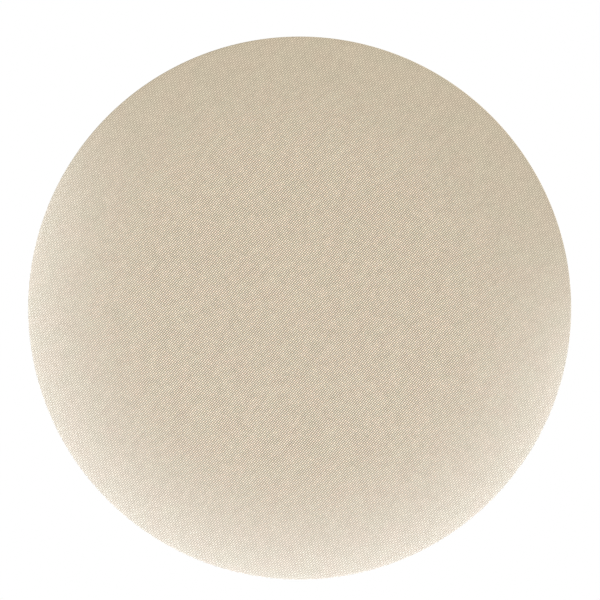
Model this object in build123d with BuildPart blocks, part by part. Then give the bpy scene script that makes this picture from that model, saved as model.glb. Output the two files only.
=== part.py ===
"""Collapsible backdrop panel: a round sprung panel with a padded cloth face.

A flat spring-steel band, closed by a riveted ferrule, opens the panel into a disc. A tape sleeve
holds the band, and a core membrane is sewn into that sleeve. A soft liner lies on the membrane and
crowns the face. The face cloth turns over the rim and is joined to the back cloth, along a lapped
seam above and a zip below. A webbing tab with an eyelet hangs the panel.

Frame: millimetres, +Z up, the disc's axis along Y, its face towards -Y, its centre at the origin.
The panel folds in half about a level line through its centre, so whatever crosses that line is made
as an upper and a lower half.
"""

import os
from math import asin, cos, degrees, radians, sin

from build123d import *

# Driving dimensions
disc_radius = 300.0
rim_half = 5.5  # half the panel's thickness at the rim
rim_corner = 1.6  # outer corner radius of the rim
crown_start = 180.0  # the face is flat inside this radius
crown_slope = radians(10)  # and falls away to this slope at the rim
face_thickness = 0.9
back_thickness = 0.6
fold_gap = 0.3  # between the two halves of what crosses the fold

band_width = 5.0
band_thickness = 0.8
band_radius = 296.3
zip_radius = 264.0  # centreline of the chain
zip_reach = 60.0  # the chain runs this many degrees each way from the lowest point
thread_radius = 0.25

# Face cloth: where its crown arc, rim corners and turned-back edge lie
corner_r = disc_radius - rim_corner
corner_y = rim_half - rim_corner
shoulder_r = corner_r + rim_corner * sin(crown_slope)
shoulder_y = -corner_y - rim_corner * cos(crown_slope)
crown_radius = (shoulder_r - crown_start) / sin(crown_slope)
crown_y = shoulder_y - crown_radius * (1 - cos(crown_slope))
return_edge = 262.5

# Back of the panel, in layers from the inside out
inner_y = rim_half - face_thickness
lap_start = 259.0
lap_bottom = rim_half + 0.05
lap_top = lap_bottom + back_thickness
back_edge = 272.0
flat_top = inner_y + back_thickness

# Zip
window_reach = 61.5
window_inner = 258.8
window_outer = 269.2
teeth_half = 3.0
slit_half = 0.75
tooth_step = 0.75  # degrees from one tooth to the next
tooth_count = int(2 * zip_reach / tooth_step)
tooth_space = 1.7
tooth_length = 1.4
teeth_low = 3.1
teeth_high = 5.5
tape_low = 4.05
tape_high = 4.55
tape_reach = 63.0
tape_inner_edge = 249.0
tape_outer_edge = 279.0
slider_start = 57.5  # degrees from the lowest point, with the zip closed

# Hanging tab
tab_width = 25.0
tab_thickness = 2.0
tab_low_z = 232.0
tab_bend_z = 258.0
tab_rise_z = 265.0
tab_top_z = 291.0
tab_under = 8.4  # underside of its free end
eyelet_z = 277.0
eyelet_bore = 5.0
eyelet_wall = 0.8
eyelet_flange = 9.0

up = Axis((0, 0, 0), (0, -1, 0))
down = Axis.Y
halves = {"upper": up, "lower": down}

os.makedirs("parts", exist_ok=True)


def keep(part, label):
    """Names a finished piece and writes it to its own file."""
    part.label = label
    export_step(part, f"parts/{label}.step")


def radial_plane(angle):
    """The plane through the disc's axis at this angle, with 0 at +X and 90 at +Z."""
    return Plane.XY.rotated((0, -angle, 0))


def zip_plane(reach):
    """The plane through the disc's axis this many degrees from the lowest point, towards +X."""
    return radial_plane(-90 + reach)


def cloth_curve(inset, end_radius):
    """Draws the face cloth's section, this far in from its skin, from the axis to end_radius."""
    flat = Line((0, crown_y + inset), (crown_start, crown_y + inset))
    crown = CenterArc(
        (crown_start, crown_y + crown_radius), crown_radius - inset, -90, degrees(crown_slope)
    )
    corner = rim_corner - inset
    front = CenterArc((corner_r, -corner_y), corner, -90 + degrees(crown_slope), 90 - degrees(crown_slope))
    edge = Line(front @ 1, (disc_radius - inset, corner_y))
    back = CenterArc((corner_r, corner_y), corner, 0, 90)
    turned = Line(back @ 1, (end_radius, rim_half - inset))
    return flat, crown, front, edge, back, turned


def sector(inner, outer, low, high, reach):
    """A ring sector centred on the lowest point, used to cut the zip's window."""
    with BuildPart(mode=Mode.PRIVATE) as ring:
        with BuildSketch(zip_plane(reach)):
            with Locations(((inner + outer) / 2, (low + high) / 2)):
                Rectangle(outer - inner, high - low)
        revolve(axis=Axis.Y, revolution_arc=2 * reach)
    return ring.part


def strip(inner, outer, low, high, start, stop):
    """A ring sector from one angle to another, both in degrees from the lowest point."""
    with BuildPart(mode=Mode.PRIVATE) as ring:
        with BuildSketch(zip_plane(stop)):
            with Locations(((inner + outer) / 2, (low + high) / 2)):
                Rectangle(outer - inner, high - low)
        revolve(axis=Axis.Y, revolution_arc=stop - start)
    return ring.part


def thread(radius, y, start, stop):
    """A row of stitching as one thread, from one angle to another from the lowest point."""
    with BuildPart(mode=Mode.PRIVATE) as row:
        with BuildSketch(zip_plane(stop)):
            with Locations((radius, y)):
                Circle(thread_radius)
        revolve(axis=Axis.Y, revolution_arc=stop - start)
    return row.part


def fold_slot():
    """The thin gap along the fold, cut from everything that crosses it."""
    return Box(700, 60, fold_gap, mode=Mode.PRIVATE)


# Spring band: one flat steel strip bent into a hoop, with its ends butted inside the ferrule
splice_angle = 62.0  # from +X towards +Z
splice_gap = 0.6
ferrule_arc = 7.0  # degrees of hoop that the ferrule covers
rivet_offset = 2.1  # degrees from the butt to each rivet
rivet_radius = 0.9
rivet_hole = 0.95

for half, turn in halves.items():
    with BuildPart() as hoop:
        with BuildSketch(Plane.XY):
            with Locations((band_radius, 0)):
                Rectangle(band_thickness, band_width)
        revolve(axis=turn, revolution_arc=180)
        add(fold_slot(), mode=Mode.SUBTRACT)
        if half == "upper":
            with Locations(radial_plane(splice_angle)):
                with Locations((band_radius, 0, 0)):
                    Box(4, 10, splice_gap, mode=Mode.SUBTRACT)
            for side in (-1, 1):
                with Locations(radial_plane(splice_angle + side * rivet_offset)):
                    with Locations((band_radius, 0, 0)):
                        Cylinder(rivet_hole, 6, rotation=(0, 90, 0), mode=Mode.SUBTRACT)
    keep(hoop.part, f"spring_band_{half}")

# Ferrule: a flat tube crimped over both ends of the band
ferrule_depth = 2.1
ferrule_width = 5.9
ferrule_wall = 0.6

with BuildPart() as ferrule:
    with BuildSketch(radial_plane(splice_angle + ferrule_arc / 2)):
        with Locations((band_radius, 0)):
            RectangleRounded(ferrule_depth, ferrule_width, 0.5)
            Rectangle(ferrule_depth - 2 * ferrule_wall, band_width + 0.1, mode=Mode.SUBTRACT)
    revolve(axis=Axis.Y, revolution_arc=ferrule_arc)
    for side in (-1, 1):
        with Locations(radial_plane(splice_angle + side * rivet_offset)):
            with Locations((band_radius, 0, 0)):
                Cylinder(rivet_hole, 6, rotation=(0, 90, 0), mode=Mode.SUBTRACT)
keep(ferrule.part, "splice_ferrule")

with BuildPart() as rivets:
    for side in (-1, 1):
        with Locations(radial_plane(splice_angle + side * rivet_offset)):
            with Locations((band_radius, 0, 0)):
                Cylinder(rivet_radius, ferrule_depth, rotation=(0, 90, 0))
keep(rivets.part, "splice_rivets")

# Boot: a shrunk plastic sleeve that keeps the ferrule's ends off the tape
boot_arc = 8.6
boot_depth = 2.8
boot_width = 6.6
boot_wall = 0.3

with BuildPart() as boot:
    with BuildSketch(radial_plane(splice_angle + boot_arc / 2)):
        with Locations((band_radius, 0)):
            RectangleRounded(boot_depth, boot_width, 1.2)
            RectangleRounded(boot_depth - 2 * boot_wall, boot_width - 2 * boot_wall, 0.6, mode=Mode.SUBTRACT)
    revolve(axis=Axis.Y, revolution_arc=boot_arc)
keep(boot.part, "splice_boot")

# Band sleeve: a folded tape round the band, with two flaps that hold the membrane
sleeve_radius = 296.2
sleeve_depth = 4.4
sleeve_width = 7.8
sleeve_corner = 2.0
sleeve_wall = 0.4
flap_inner = 286.0
flap_gap = 0.25  # from the middle plane to each flap
membrane_radius = 293.9
membrane_half = 0.2
sleeve_inner_r = sleeve_radius - sleeve_depth / 2

for half, turn in halves.items():
    with BuildPart() as sleeve:
        with BuildSketch(Plane.XY):
            with Locations((sleeve_radius, 0)):
                RectangleRounded(sleeve_depth, sleeve_width, sleeve_corner)
                RectangleRounded(
                    sleeve_depth - 2 * sleeve_wall,
                    sleeve_width - 2 * sleeve_wall,
                    sleeve_corner - sleeve_wall,
                    mode=Mode.SUBTRACT,
                )
            flap_length = sleeve_inner_r + sleeve_wall / 2 - flap_inner
            for side in (-1, 1):
                with Locations((flap_inner + flap_length / 2, side * (flap_gap + sleeve_wall / 2))):
                    Rectangle(flap_length, sleeve_wall)
        revolve(axis=turn, revolution_arc=180)
        add(fold_slot(), mode=Mode.SUBTRACT)
    keep(sleeve.part, f"band_sleeve_{half}")

    with BuildPart() as membrane:
        with BuildSketch(Plane.XY):
            with Locations((membrane_radius / 2, 0)):
                Rectangle(membrane_radius, 2 * membrane_half)
        revolve(axis=turn, revolution_arc=180)
        add(fold_slot(), mode=Mode.SUBTRACT)
    keep(membrane.part, f"core_membrane_{half}")

# Sleeve stitching: one row on each flap
flap_row = 289.0
flap_top = flap_gap + sleeve_wall

for half, turn in halves.items():
    with BuildPart() as sleeve_rows:
        with BuildSketch(Plane.XY):
            for side in (-1, 1):
                with Locations((flap_row, side * (flap_top + thread_radius + 0.02))):
                    Circle(thread_radius)
        revolve(axis=turn, revolution_arc=180)
        add(fold_slot(), mode=Mode.SUBTRACT)
    keep(sleeve_rows.part, f"sleeve_stitching_{half}")

# Liner: the soft pad between the membrane and the face cloth
liner_radius = 284.0
liner_base = -1.4
liner_inset = face_thickness + 0.1
liner_turn = degrees(asin((liner_radius - crown_start) / (crown_radius - liner_inset)))

for half, turn in halves.items():
    with BuildPart() as liner:
        with BuildSketch(Plane.XY):
            with BuildLine():
                top = Line((0, crown_y + liner_inset), (crown_start, crown_y + liner_inset))
                fall = CenterArc(
                    (crown_start, crown_y + crown_radius), crown_radius - liner_inset, -90, liner_turn
                )
                Polyline(fall @ 1, (liner_radius, liner_base), (0, liner_base), top @ 0)
            make_face()
        revolve(axis=turn, revolution_arc=180)
        add(fold_slot(), mode=Mode.SUBTRACT)
    keep(liner.part, f"liner_{half}")

# Face cloth: one piece from the crown, over the rim, to its turned-back edge
for half, turn in halves.items():
    with BuildPart() as face_cloth:
        with BuildSketch(Plane.XY):
            with BuildLine():
                skin = cloth_curve(0, return_edge)
                lining = cloth_curve(face_thickness, return_edge)
                Line(skin[0] @ 0, lining[0] @ 0)
                Line(skin[-1] @ 1, lining[-1] @ 1)
            make_face()
        revolve(axis=turn, revolution_arc=180)
        add(fold_slot(), mode=Mode.SUBTRACT)
        if half == "lower":
            add(sector(return_edge - 2, window_outer, 0, rim_half + 1, window_reach), mode=Mode.SUBTRACT)
    keep(face_cloth.part, f"face_cloth_{half}")

# Back cloth: flat, then stepped up to lap over the face cloth's edge
for half, turn in halves.items():
    with BuildPart() as back_cloth:
        with BuildSketch(Plane.XY):
            with BuildLine():
                Polyline(
                    (0, inner_y),
                    (lap_start, inner_y),
                    (lap_start + 2.5, lap_bottom),
                    (back_edge, lap_bottom),
                    (back_edge, lap_top),
                    (lap_start + 2, lap_top),
                    (lap_start - 0.5, flat_top),
                    (0, flat_top),
                    close=True,
                )
            make_face()
        revolve(axis=turn, revolution_arc=180)
        add(fold_slot(), mode=Mode.SUBTRACT)
        if half == "lower":
            add(sector(window_inner, back_edge + 2, 0, lap_top + 1, window_reach), mode=Mode.SUBTRACT)
    keep(back_cloth.part, f"back_cloth_{half}")

# Seam stitching: two rows through the lap, all round except along the zip
seam_rows = (264.5, 270.0)
seam_y = lap_top + thread_radius
seam_clear = 66.5  # degrees from the lowest point to where the rows start

with BuildPart() as seam_upper:
    for radius in seam_rows:
        add(thread(radius, seam_y, 90.1, 269.9))
keep(seam_upper.part, "seam_stitching_upper")

with BuildPart() as seam_lower:
    for radius in seam_rows:
        add(thread(radius, seam_y, seam_clear, 89.9))
        add(thread(radius, seam_y, -89.9, -seam_clear))
keep(seam_lower.part, "seam_stitching_lower")

# Zip: two tapes, two rows of teeth, stops at both ends, end patches and their stitching
with BuildPart() as tape_inner:
    add(strip(tape_inner_edge, zip_radius - teeth_half - 0.05, tape_low, tape_high, -tape_reach, tape_reach))
keep(tape_inner.part, "zip_tape_inner")

with BuildPart() as tape_outer:
    add(strip(zip_radius + teeth_half + 0.05, tape_outer_edge, tape_low, tape_high, -tape_reach, tape_reach))
keep(tape_outer.part, "zip_tape_outer")

# Each row is a moulded bead along the tape's edge, cut into teeth on the side that meets the other
def teeth_row(side, phase):
    """One toothed row, on the inner (-1) or outer (1) side of the chain."""
    near, far = sorted((zip_radius + side * slit_half, zip_radius + side * teeth_half))
    notch_middle = zip_radius + side * slit_half
    with BuildPart(mode=Mode.PRIVATE) as row:
        add(strip(near, far, teeth_low, teeth_high, -zip_reach, zip_reach))
        spaces = [-90 - zip_reach + (place + phase) * tooth_step for place in range(tooth_count)]
        with Locations(*[radial_plane(space) for space in spaces]):
            with Locations((notch_middle, (teeth_low + teeth_high) / 2, 0)):
                Box(2 * tooth_length, 3, tooth_space, mode=Mode.SUBTRACT)
    return row.part


with BuildPart() as teeth_inner:
    add(teeth_row(-1, 0.3))
keep(teeth_inner.part, "zip_teeth_inner")

with BuildPart() as teeth_outer:
    add(teeth_row(1, 0.8))
keep(teeth_outer.part, "zip_teeth_outer")

stop_low = 2.9
stop_high = 5.7
stop_start = 60.1
stop_end = 60.8

with BuildPart() as top_stops:
    add(strip(zip_radius - teeth_half, zip_radius - slit_half, stop_low, stop_high, stop_start, stop_end))
    add(strip(zip_radius + slit_half, zip_radius + teeth_half, stop_low, stop_high, stop_start, stop_end))
keep(top_stops.part, "zip_top_stops")

with BuildPart() as bottom_stop:
    add(strip(zip_radius - teeth_half, zip_radius + teeth_half, stop_low, stop_high, -stop_end, -stop_start))
keep(bottom_stop.part, "zip_bottom_stop")

patch_inner = 261.6
patch_outer = 272.4
patch_start = 61.1
patch_end = 65.6
patch_thickness = 0.5

with BuildPart() as patches:
    for low, high in ((patch_start, patch_end), (-patch_end, -patch_start)):
        add(strip(patch_inner, patch_outer, lap_top + 0.05, lap_top + 0.05 + patch_thickness, low, high))
keep(patches.part, "zip_end_patches")

with BuildPart() as zip_rows:
    add(thread(window_outer + 2.3, rim_half + thread_radius, -zip_reach, zip_reach))
    add(thread(window_inner - 2.3, flat_top + thread_radius, -zip_reach, zip_reach))
keep(zip_rows.part, "zip_stitching")

# Slider: two plates round the chain, joined by a web through it, with a bridge for the pull
plate_length = 10.5
plate_half = 4.2
plate_thickness = 1.0
play = 0.3
top_low = teeth_high + play
bottom_high = teeth_low - play
flange_width = 1.0
web_length = 3.0
web_half = 0.4
bridge_width = 2.0
bridge_inner = 2.2  # half the bridge's opening along the chain
bridge_outer = 3.4
bridge_under = 9.2
bridge_top = 10.2
pull_bar_y = 8.1
pull_bar_radius = 0.7

# In this plane x runs outwards along the disc's radius and y is the disc's axis
slider_plane = zip_plane(slider_start)
chain = slider_plane.shift_origin(slider_plane.from_local_coords((zip_radius, 0, 0)))
top_middle = top_low + plate_thickness / 2
bottom_middle = bottom_high - plate_thickness / 2

with BuildPart() as slider:
    with Locations(chain):
        for middle in (top_middle, bottom_middle):
            with Locations((0, middle, 0)):
                Box(2 * plate_half, plate_thickness, plate_length)
        fillet(slider.edges().filter_by(Axis.Y), 1.6)
        for side in (-1, 1):
            with Locations((side * (plate_half - flange_width / 2), 0, 0)):
                with Locations((0, (top_low + tape_high + play) / 2, 0)):
                    Box(flange_width, top_low - tape_high - play, plate_length - 4)
                with Locations((0, (bottom_high + tape_low - play) / 2, 0)):
                    Box(flange_width, tape_low - play - bottom_high, plate_length - 4)
        with Locations((0, (top_low + bottom_high) / 2, 0)):
            Box(2 * web_half, top_low - bottom_high, web_length)
        bridge_base = top_low + plate_thickness
        with Locations((0, (bridge_base + bridge_top) / 2, 0)):
            Box(bridge_width, bridge_top - bridge_base, 2 * bridge_outer)
        with Locations((0, (bridge_base + bridge_under) / 2, 0)):
            Box(bridge_width + 1, bridge_under - bridge_base, 2 * bridge_inner, mode=Mode.SUBTRACT)
keep(slider.part, "zip_slider")

# Pull: a flat tab on a round bar that lies under the bridge
pull_length = 27.0
pull_width = 7.0
pull_thickness = 1.2
pull_window = 3.4
pull_window_end = 5.4

pull_plane = chain.shift_origin(chain.from_local_coords((0, pull_bar_y, 0)))
pull_face = Plane(pull_plane.origin, x_dir=-pull_plane.z_dir, z_dir=pull_plane.y_dir)

with BuildPart() as pull:
    with BuildSketch(pull_face.offset(-pull_thickness / 2)):
        with BuildLine():
            Polyline(
                (pull_length - 5, pull_width / 2),
                (3, pull_width / 2 - 0.6),
                (0, pull_width / 2 - 0.6),
                (0, -pull_width / 2 + 0.6),
                (3, -pull_width / 2 + 0.6),
                (pull_length - 5, -pull_width / 2),
            )
            ThreePointArc(
                (pull_length - 5, pull_width / 2), (pull_length, 0), (pull_length - 5, -pull_width / 2)
            )
        make_face()
        with Locations((pull_window_end / 2, 0)):
            Rectangle(pull_window_end, pull_window, mode=Mode.SUBTRACT)
        with Locations((pull_length - 6.5, 0)):
            SlotOverall(5.5, 2.4, rotation=90, mode=Mode.SUBTRACT)
    extrude(amount=pull_thickness)
    with Locations(pull_plane):
        Cylinder(pull_bar_radius, pull_width - 1.2, rotation=(0, 90, 0))
keep(pull.part, "zip_pull")

# Hanging tab: doubled webbing, sewn down below and standing clear of the panel round its eyelet
tab_foot = flat_top + 0.05

with BuildPart() as tab:
    with BuildSketch(Plane.YZ):
        with BuildLine():
            Polyline(
                (tab_foot, tab_low_z),
                (tab_foot, tab_bend_z - 0.6),
                (tab_under, tab_rise_z),
                (tab_under, tab_top_z),
                (tab_under + tab_thickness, tab_top_z),
                (tab_under + tab_thickness, tab_rise_z - 0.6),
                (tab_foot + tab_thickness, tab_bend_z - 1.2),
                (tab_foot + tab_thickness, tab_low_z),
                close=True,
            )
        make_face()
    extrude(amount=tab_width / 2, both=True)
    with Locations((0, tab_under + tab_thickness / 2, eyelet_z)):
        Cylinder(eyelet_bore + eyelet_wall + 0.05, 6, rotation=(90, 0, 0), mode=Mode.SUBTRACT)
keep(tab.part, "hanging_tab")

# Eyelet: a flanged barrel through the tab and a washer under it
flange_height = 0.8

with BuildPart() as barrel:
    with BuildSketch(Plane.XY.offset(eyelet_z)):
        low = tab_under - flange_height
        high = tab_under + tab_thickness
        with BuildLine():
            Polyline(
                (eyelet_bore, low),
                (eyelet_bore, high + flange_height),
                (eyelet_flange, high + flange_height),
                (eyelet_flange, high),
                (eyelet_bore + eyelet_wall, high),
                (eyelet_bore + eyelet_wall, low),
                close=True,
            )
        make_face()
    eyelet_axis = Axis((0, 0, eyelet_z), (0, 1, 0))
    revolve(axis=eyelet_axis, revolution_arc=360)
    flange_rims = barrel.edges().filter_by(GeomType.CIRCLE).group_by(Axis.Y)[-1]
    fillet(flange_rims, 0.35)
keep(barrel.part, "eyelet_barrel")

with BuildPart() as washer:
    with BuildSketch(Plane.XZ.offset(-tab_under)):
        with Locations((0, eyelet_z)):
            Circle(eyelet_flange)
            Circle(eyelet_bore + eyelet_wall + 0.03, mode=Mode.SUBTRACT)
    extrude(amount=flange_height)
    fillet(washer.edges().filter_by(GeomType.CIRCLE).group_by(Axis.Y)[0].sort_by(SortBy.RADIUS)[-1], 0.35)
keep(washer.part, "eyelet_washer")

# Tab stitching: a box with a cross, through the sewn foot
stitch_half = 9.5
stitch_middle = (tab_low_z + tab_bend_z) / 2 - 0.5
stitch_y = tab_foot + tab_thickness + thread_radius
corner_a, corner_b, corner_c, corner_d = (
    (-stitch_half, stitch_y, stitch_middle - stitch_half),
    (stitch_half, stitch_y, stitch_middle - stitch_half),
    (stitch_half, stitch_y, stitch_middle + stitch_half),
    (-stitch_half, stitch_y, stitch_middle + stitch_half),
)

with BuildPart() as tab_rows:
    for start, end in (
        (corner_a, corner_b),
        (corner_b, corner_c),
        (corner_c, corner_d),
        (corner_d, corner_a),
        (corner_a, corner_c),
        (corner_b, corner_d),
    ):
        run = Vector(end) - Vector(start)
        with BuildSketch(Plane(origin=start, z_dir=run)):
            RegularPolygon(thread_radius, 8)
        extrude(amount=run.length)
keep(tab_rows.part, "tab_stitching")

# Care label: a blank folded ribbon caught under the lap
label_angle = 128.0
label_width = 30.0
label_inner = 240.0
label_outer = 258.0
label_thickness = 0.4

with BuildPart() as label:
    with Locations(radial_plane(label_angle)):
        with Locations(((label_inner + label_outer) / 2, flat_top + 0.05 + label_thickness / 2, 0)):
            Box(label_outer - label_inner, label_thickness, label_width)
keep(label.part, "care_label")
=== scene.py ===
"""Collapsible backdrop panel: the cloth, threads, metal and stage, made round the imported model.

Run as a script. Lengths are in metres. The disc's axis is Y, its face looks towards -Y and +Z is up.
"""

import random
from math import atan2, cos, hypot, pi, radians, sin, tan

import bpy
import numpy as np
from bpy.props import FloatProperty, FloatVectorProperty, IntProperty, PointerProperty
from mathutils import Matrix, Vector


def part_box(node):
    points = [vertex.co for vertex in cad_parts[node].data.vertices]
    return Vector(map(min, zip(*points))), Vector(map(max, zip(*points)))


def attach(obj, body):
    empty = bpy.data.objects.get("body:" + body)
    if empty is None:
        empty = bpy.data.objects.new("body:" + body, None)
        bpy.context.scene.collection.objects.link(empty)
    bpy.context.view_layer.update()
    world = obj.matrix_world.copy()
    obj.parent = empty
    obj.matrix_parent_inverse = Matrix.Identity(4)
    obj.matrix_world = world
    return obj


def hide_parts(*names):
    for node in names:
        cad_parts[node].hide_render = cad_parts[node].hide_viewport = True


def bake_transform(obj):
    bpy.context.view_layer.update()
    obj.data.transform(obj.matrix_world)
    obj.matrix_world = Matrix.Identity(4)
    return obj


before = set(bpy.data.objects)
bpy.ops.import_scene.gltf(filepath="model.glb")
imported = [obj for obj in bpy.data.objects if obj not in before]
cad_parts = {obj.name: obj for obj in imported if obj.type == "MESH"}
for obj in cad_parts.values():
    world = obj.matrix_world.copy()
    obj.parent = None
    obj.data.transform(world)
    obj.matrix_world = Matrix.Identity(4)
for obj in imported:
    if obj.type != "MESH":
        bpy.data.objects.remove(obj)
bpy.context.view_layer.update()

bl_info = {
    "name": "Collapsible Backdrop Panel",
    "version": (1, 0, 0),
    "blender": (4, 5, 0),
    "location": "View3D > Sidebar > Backdrop",
    "description": "Makes the cloth, stitching, zip, metal and stage of a sprung backdrop disc",
    "category": "Add Mesh",
}

# Sizes that the pieces share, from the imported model
MM = 0.001
FACE_LOW, FACE_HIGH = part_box("face_cloth_upper")
BACK_LOW, BACK_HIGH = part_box("back_cloth_upper")
BAND_LOW, BAND_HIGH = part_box("spring_band_upper")
SLEEVE_LOW, SLEEVE_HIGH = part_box("band_sleeve_upper")
MEMBRANE_LOW, MEMBRANE_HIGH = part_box("core_membrane_upper")
LINER_LOW, LINER_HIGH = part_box("liner_upper")
TAB_LOW, TAB_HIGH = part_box("hanging_tab")
LABEL_LOW, LABEL_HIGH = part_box("care_label")
EYELET_LOW, EYELET_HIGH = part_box("eyelet_barrel")

RIM_RADIUS = FACE_HIGH.x
RIM_HALF = FACE_HIGH.y
FACE_FRONT = FACE_LOW.y
RIM_CORNER = 1.6 * MM
CROWN_START = 180 * MM
CROWN_SLOPE = radians(10)
FACE_CLOTH = 0.9 * MM
BACK_CLOTH = 0.6 * MM
RETURN_EDGE = 262.5 * MM
BACK_EDGE = BACK_HIGH.x
BACK_FLAT = BACK_LOW.y + BACK_CLOTH
LAP_TOP = BACK_HIGH.y
LAP_START = 259 * MM

ZIP_RADIUS = 264 * MM
WINDOW_REACH = radians(61.5)
WINDOW_INNER = 258.8 * MM
WINDOW_OUTER = 269.2 * MM
SEAM_ROWS = (264.5 * MM, 270.0 * MM)
SEAM_CLEAR = radians(66.5)
SPLICE_ANGLE = radians(62)
PUCKER_REACH = 42 * MM
PUCKER_DEPTH = 1.1 * MM
STITCH_DENT = 0.18 * MM
ZIP_CLEAR = 0.43 * MM  # from the zip's line to the teeth and tape edges, so that the slider's web passes
ALONG_AND_ACROSS = (pi / 2, 0)

TURN_STEPS = 480  # steps in a full turn of the round cloths, so that the zip's window falls on a step


class BackdropCloth(bpy.types.PropertyGroup):
    """Threads and colours of the cloths."""

    thread_pitch: FloatProperty(
        name="Thread pitch", description="From one linen thread to the next", default=2.1 * MM,
        min=0.5 * MM, unit="LENGTH",
    )
    warp_angle: FloatProperty(
        name="Warp angle", description="Direction of the stronger threads, up from level",
        default=radians(50.6), subtype="ANGLE",
    )
    weft_angle: FloatProperty(
        name="Weft angle", description="Direction of the crossing threads, up from level",
        default=radians(-31.1), subtype="ANGLE",
    )
    warp_colour: FloatVectorProperty(
        name="Warp colour", description="Linen of the stronger threads", subtype="COLOR", size=3,
        default=(0.95, 0.83, 0.66), min=0, max=1,
    )
    weft_colour: FloatVectorProperty(
        name="Weft colour", description="Linen of the crossing threads", subtype="COLOR", size=3,
        default=(0.80, 0.70, 0.56), min=0, max=1,
    )
    gap_colour: FloatVectorProperty(
        name="Gap colour", description="Shade seen between the threads", subtype="COLOR", size=3,
        default=(0.055, 0.045, 0.03), min=0, max=1,
    )
    back_colour: FloatVectorProperty(
        name="Back colour", description="Unbleached cotton of the back cloth", subtype="COLOR", size=3,
        default=(0.66, 0.60, 0.50), min=0, max=1,
    )
    tape_colour: FloatVectorProperty(
        name="Tape colour", description="Webbing and zip tape", subtype="COLOR", size=3,
        default=(0.50, 0.42, 0.31), min=0, max=1,
    )
    thread_colour: FloatVectorProperty(
        name="Sewing thread", description="Colour of all the stitching", subtype="COLOR", size=3,
        default=(0.62, 0.52, 0.38), min=0, max=1,
    )


class BackdropSewing(bpy.types.PropertyGroup):
    """Stitches and zip teeth."""

    stitch_pitch: FloatProperty(
        name="Stitch pitch", description="From one stitch to the next", default=3.6 * MM,
        min=1 * MM, unit="LENGTH",
    )
    stitch_length: FloatProperty(
        name="Stitch length", description="Thread that shows in one stitch", default=2.9 * MM,
        min=0.5 * MM, unit="LENGTH",
    )
    thread_radius: FloatProperty(
        name="Thread radius", description="Half the sewing thread's thickness", default=0.27 * MM,
        min=0.05 * MM, unit="LENGTH",
    )
    seed: IntProperty(
        name="Seed", description="Start of the small differences between stitches and gathers", default=7,
    )


class BackdropStage(bpy.types.PropertyGroup):
    """Floor, lights and camera."""

    floor_height: FloatProperty(
        name="Floor height", description="The floor, below the hanging disc", default=-1.1, unit="LENGTH",
    )
    floor_size: FloatProperty(
        name="Floor size", description="Side of the square floor", default=3.2, unit="LENGTH",
    )
    lens: FloatProperty(
        name="Lens", description="Focal length of the camera", default=100, min=20, max=300,
    )
    ambient: FloatProperty(
        name="Ambient", description="White light from all round", default=0.74, min=0,
    )
    key: FloatProperty(
        name="Key", description="Watts of the warm light from the front", default=34.5, min=0,
    )
    fill: FloatProperty(
        name="Fill", description="Watts of the cool light from low in front", default=190, min=0,
    )
    rear: FloatProperty(
        name="Rear", description="Watts of the light on the back", default=75, min=0,
    )
    edge: FloatProperty(
        name="Edge strips", description="Watts of each strip round the rim", default=0.22, min=0,
    )


# Mesh making


def start_piece(name, corner=(0, 0, 0)):
    """A new object in edit mode that is one vertex at this place, ready to be extruded."""
    bpy.ops.object.select_all(action="DESELECT")
    bpy.ops.mesh.primitive_plane_add(size=MM, location=(0, 0, 0))
    piece = bpy.context.object
    piece.name = name
    piece.data.name = name
    bpy.ops.object.mode_set(mode="EDIT")
    bpy.ops.mesh.merge(type="CENTER")
    bpy.ops.transform.translate(value=corner)
    return piece


def extrude_along(points, closed=False):
    """Draws an outline on from the selected vertex, through these points."""
    here = Vector(points[0])
    for point in points[1:]:
        step = Vector(point) - here
        bpy.ops.mesh.extrude_vertices_move(TRANSFORM_OT_translate={"value": step})
        here = Vector(point)
    if closed:
        bpy.ops.mesh.select_all(action="SELECT")
        bpy.ops.mesh.select_non_manifold(extend=False)
        bpy.ops.mesh.edge_face_add()


def lathe(name, outline, steps, turn=2 * pi, start=0.0, closed=False):
    """Spins an outline of (radius, y) points about the disc's axis, from start and on through turn."""
    points = [(radius * cos(start), y, radius * sin(start)) for radius, y in outline]
    piece = start_piece(name, points[0])
    extrude_along(points)
    if closed:
        join_ends(piece)
    bpy.ops.mesh.select_all(action="SELECT")
    bpy.ops.mesh.spin(steps=steps, angle=turn, center=(0, 0, 0), axis=(0, 1, 0))
    bpy.ops.mesh.select_all(action="SELECT")
    bpy.ops.mesh.remove_doubles(threshold=0.01 * MM)
    if turn < 2 * pi and closed:
        bpy.ops.mesh.select_all(action="DESELECT")
        bpy.ops.mesh.select_non_manifold()
        bpy.ops.mesh.edge_face_add()
        bpy.ops.mesh.select_all(action="SELECT")
    bpy.ops.mesh.normals_make_consistent(inside=False)
    bpy.ops.object.mode_set(mode="OBJECT")
    return piece


def join_ends(piece):
    """Closes an open outline with one edge between its two end vertices."""
    bpy.ops.mesh.select_all(action="DESELECT")
    bpy.ops.mesh.select_mode(type="VERT")
    bpy.ops.object.mode_set(mode="OBJECT")
    ends = {}
    for edge in piece.data.edges:
        for place in edge.vertices:
            ends[place] = ends.get(place, 0) + 1
    for place, count in ends.items():
        piece.data.vertices[place].select = count == 1
    bpy.ops.object.mode_set(mode="EDIT")
    bpy.ops.mesh.edge_face_add()
    bpy.ops.mesh.select_all(action="SELECT")


def select_only(piece):
    """Makes this the one selected and active object."""
    bpy.ops.object.select_all(action="DESELECT")
    piece.select_set(True)
    bpy.context.view_layer.objects.active = piece


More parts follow.
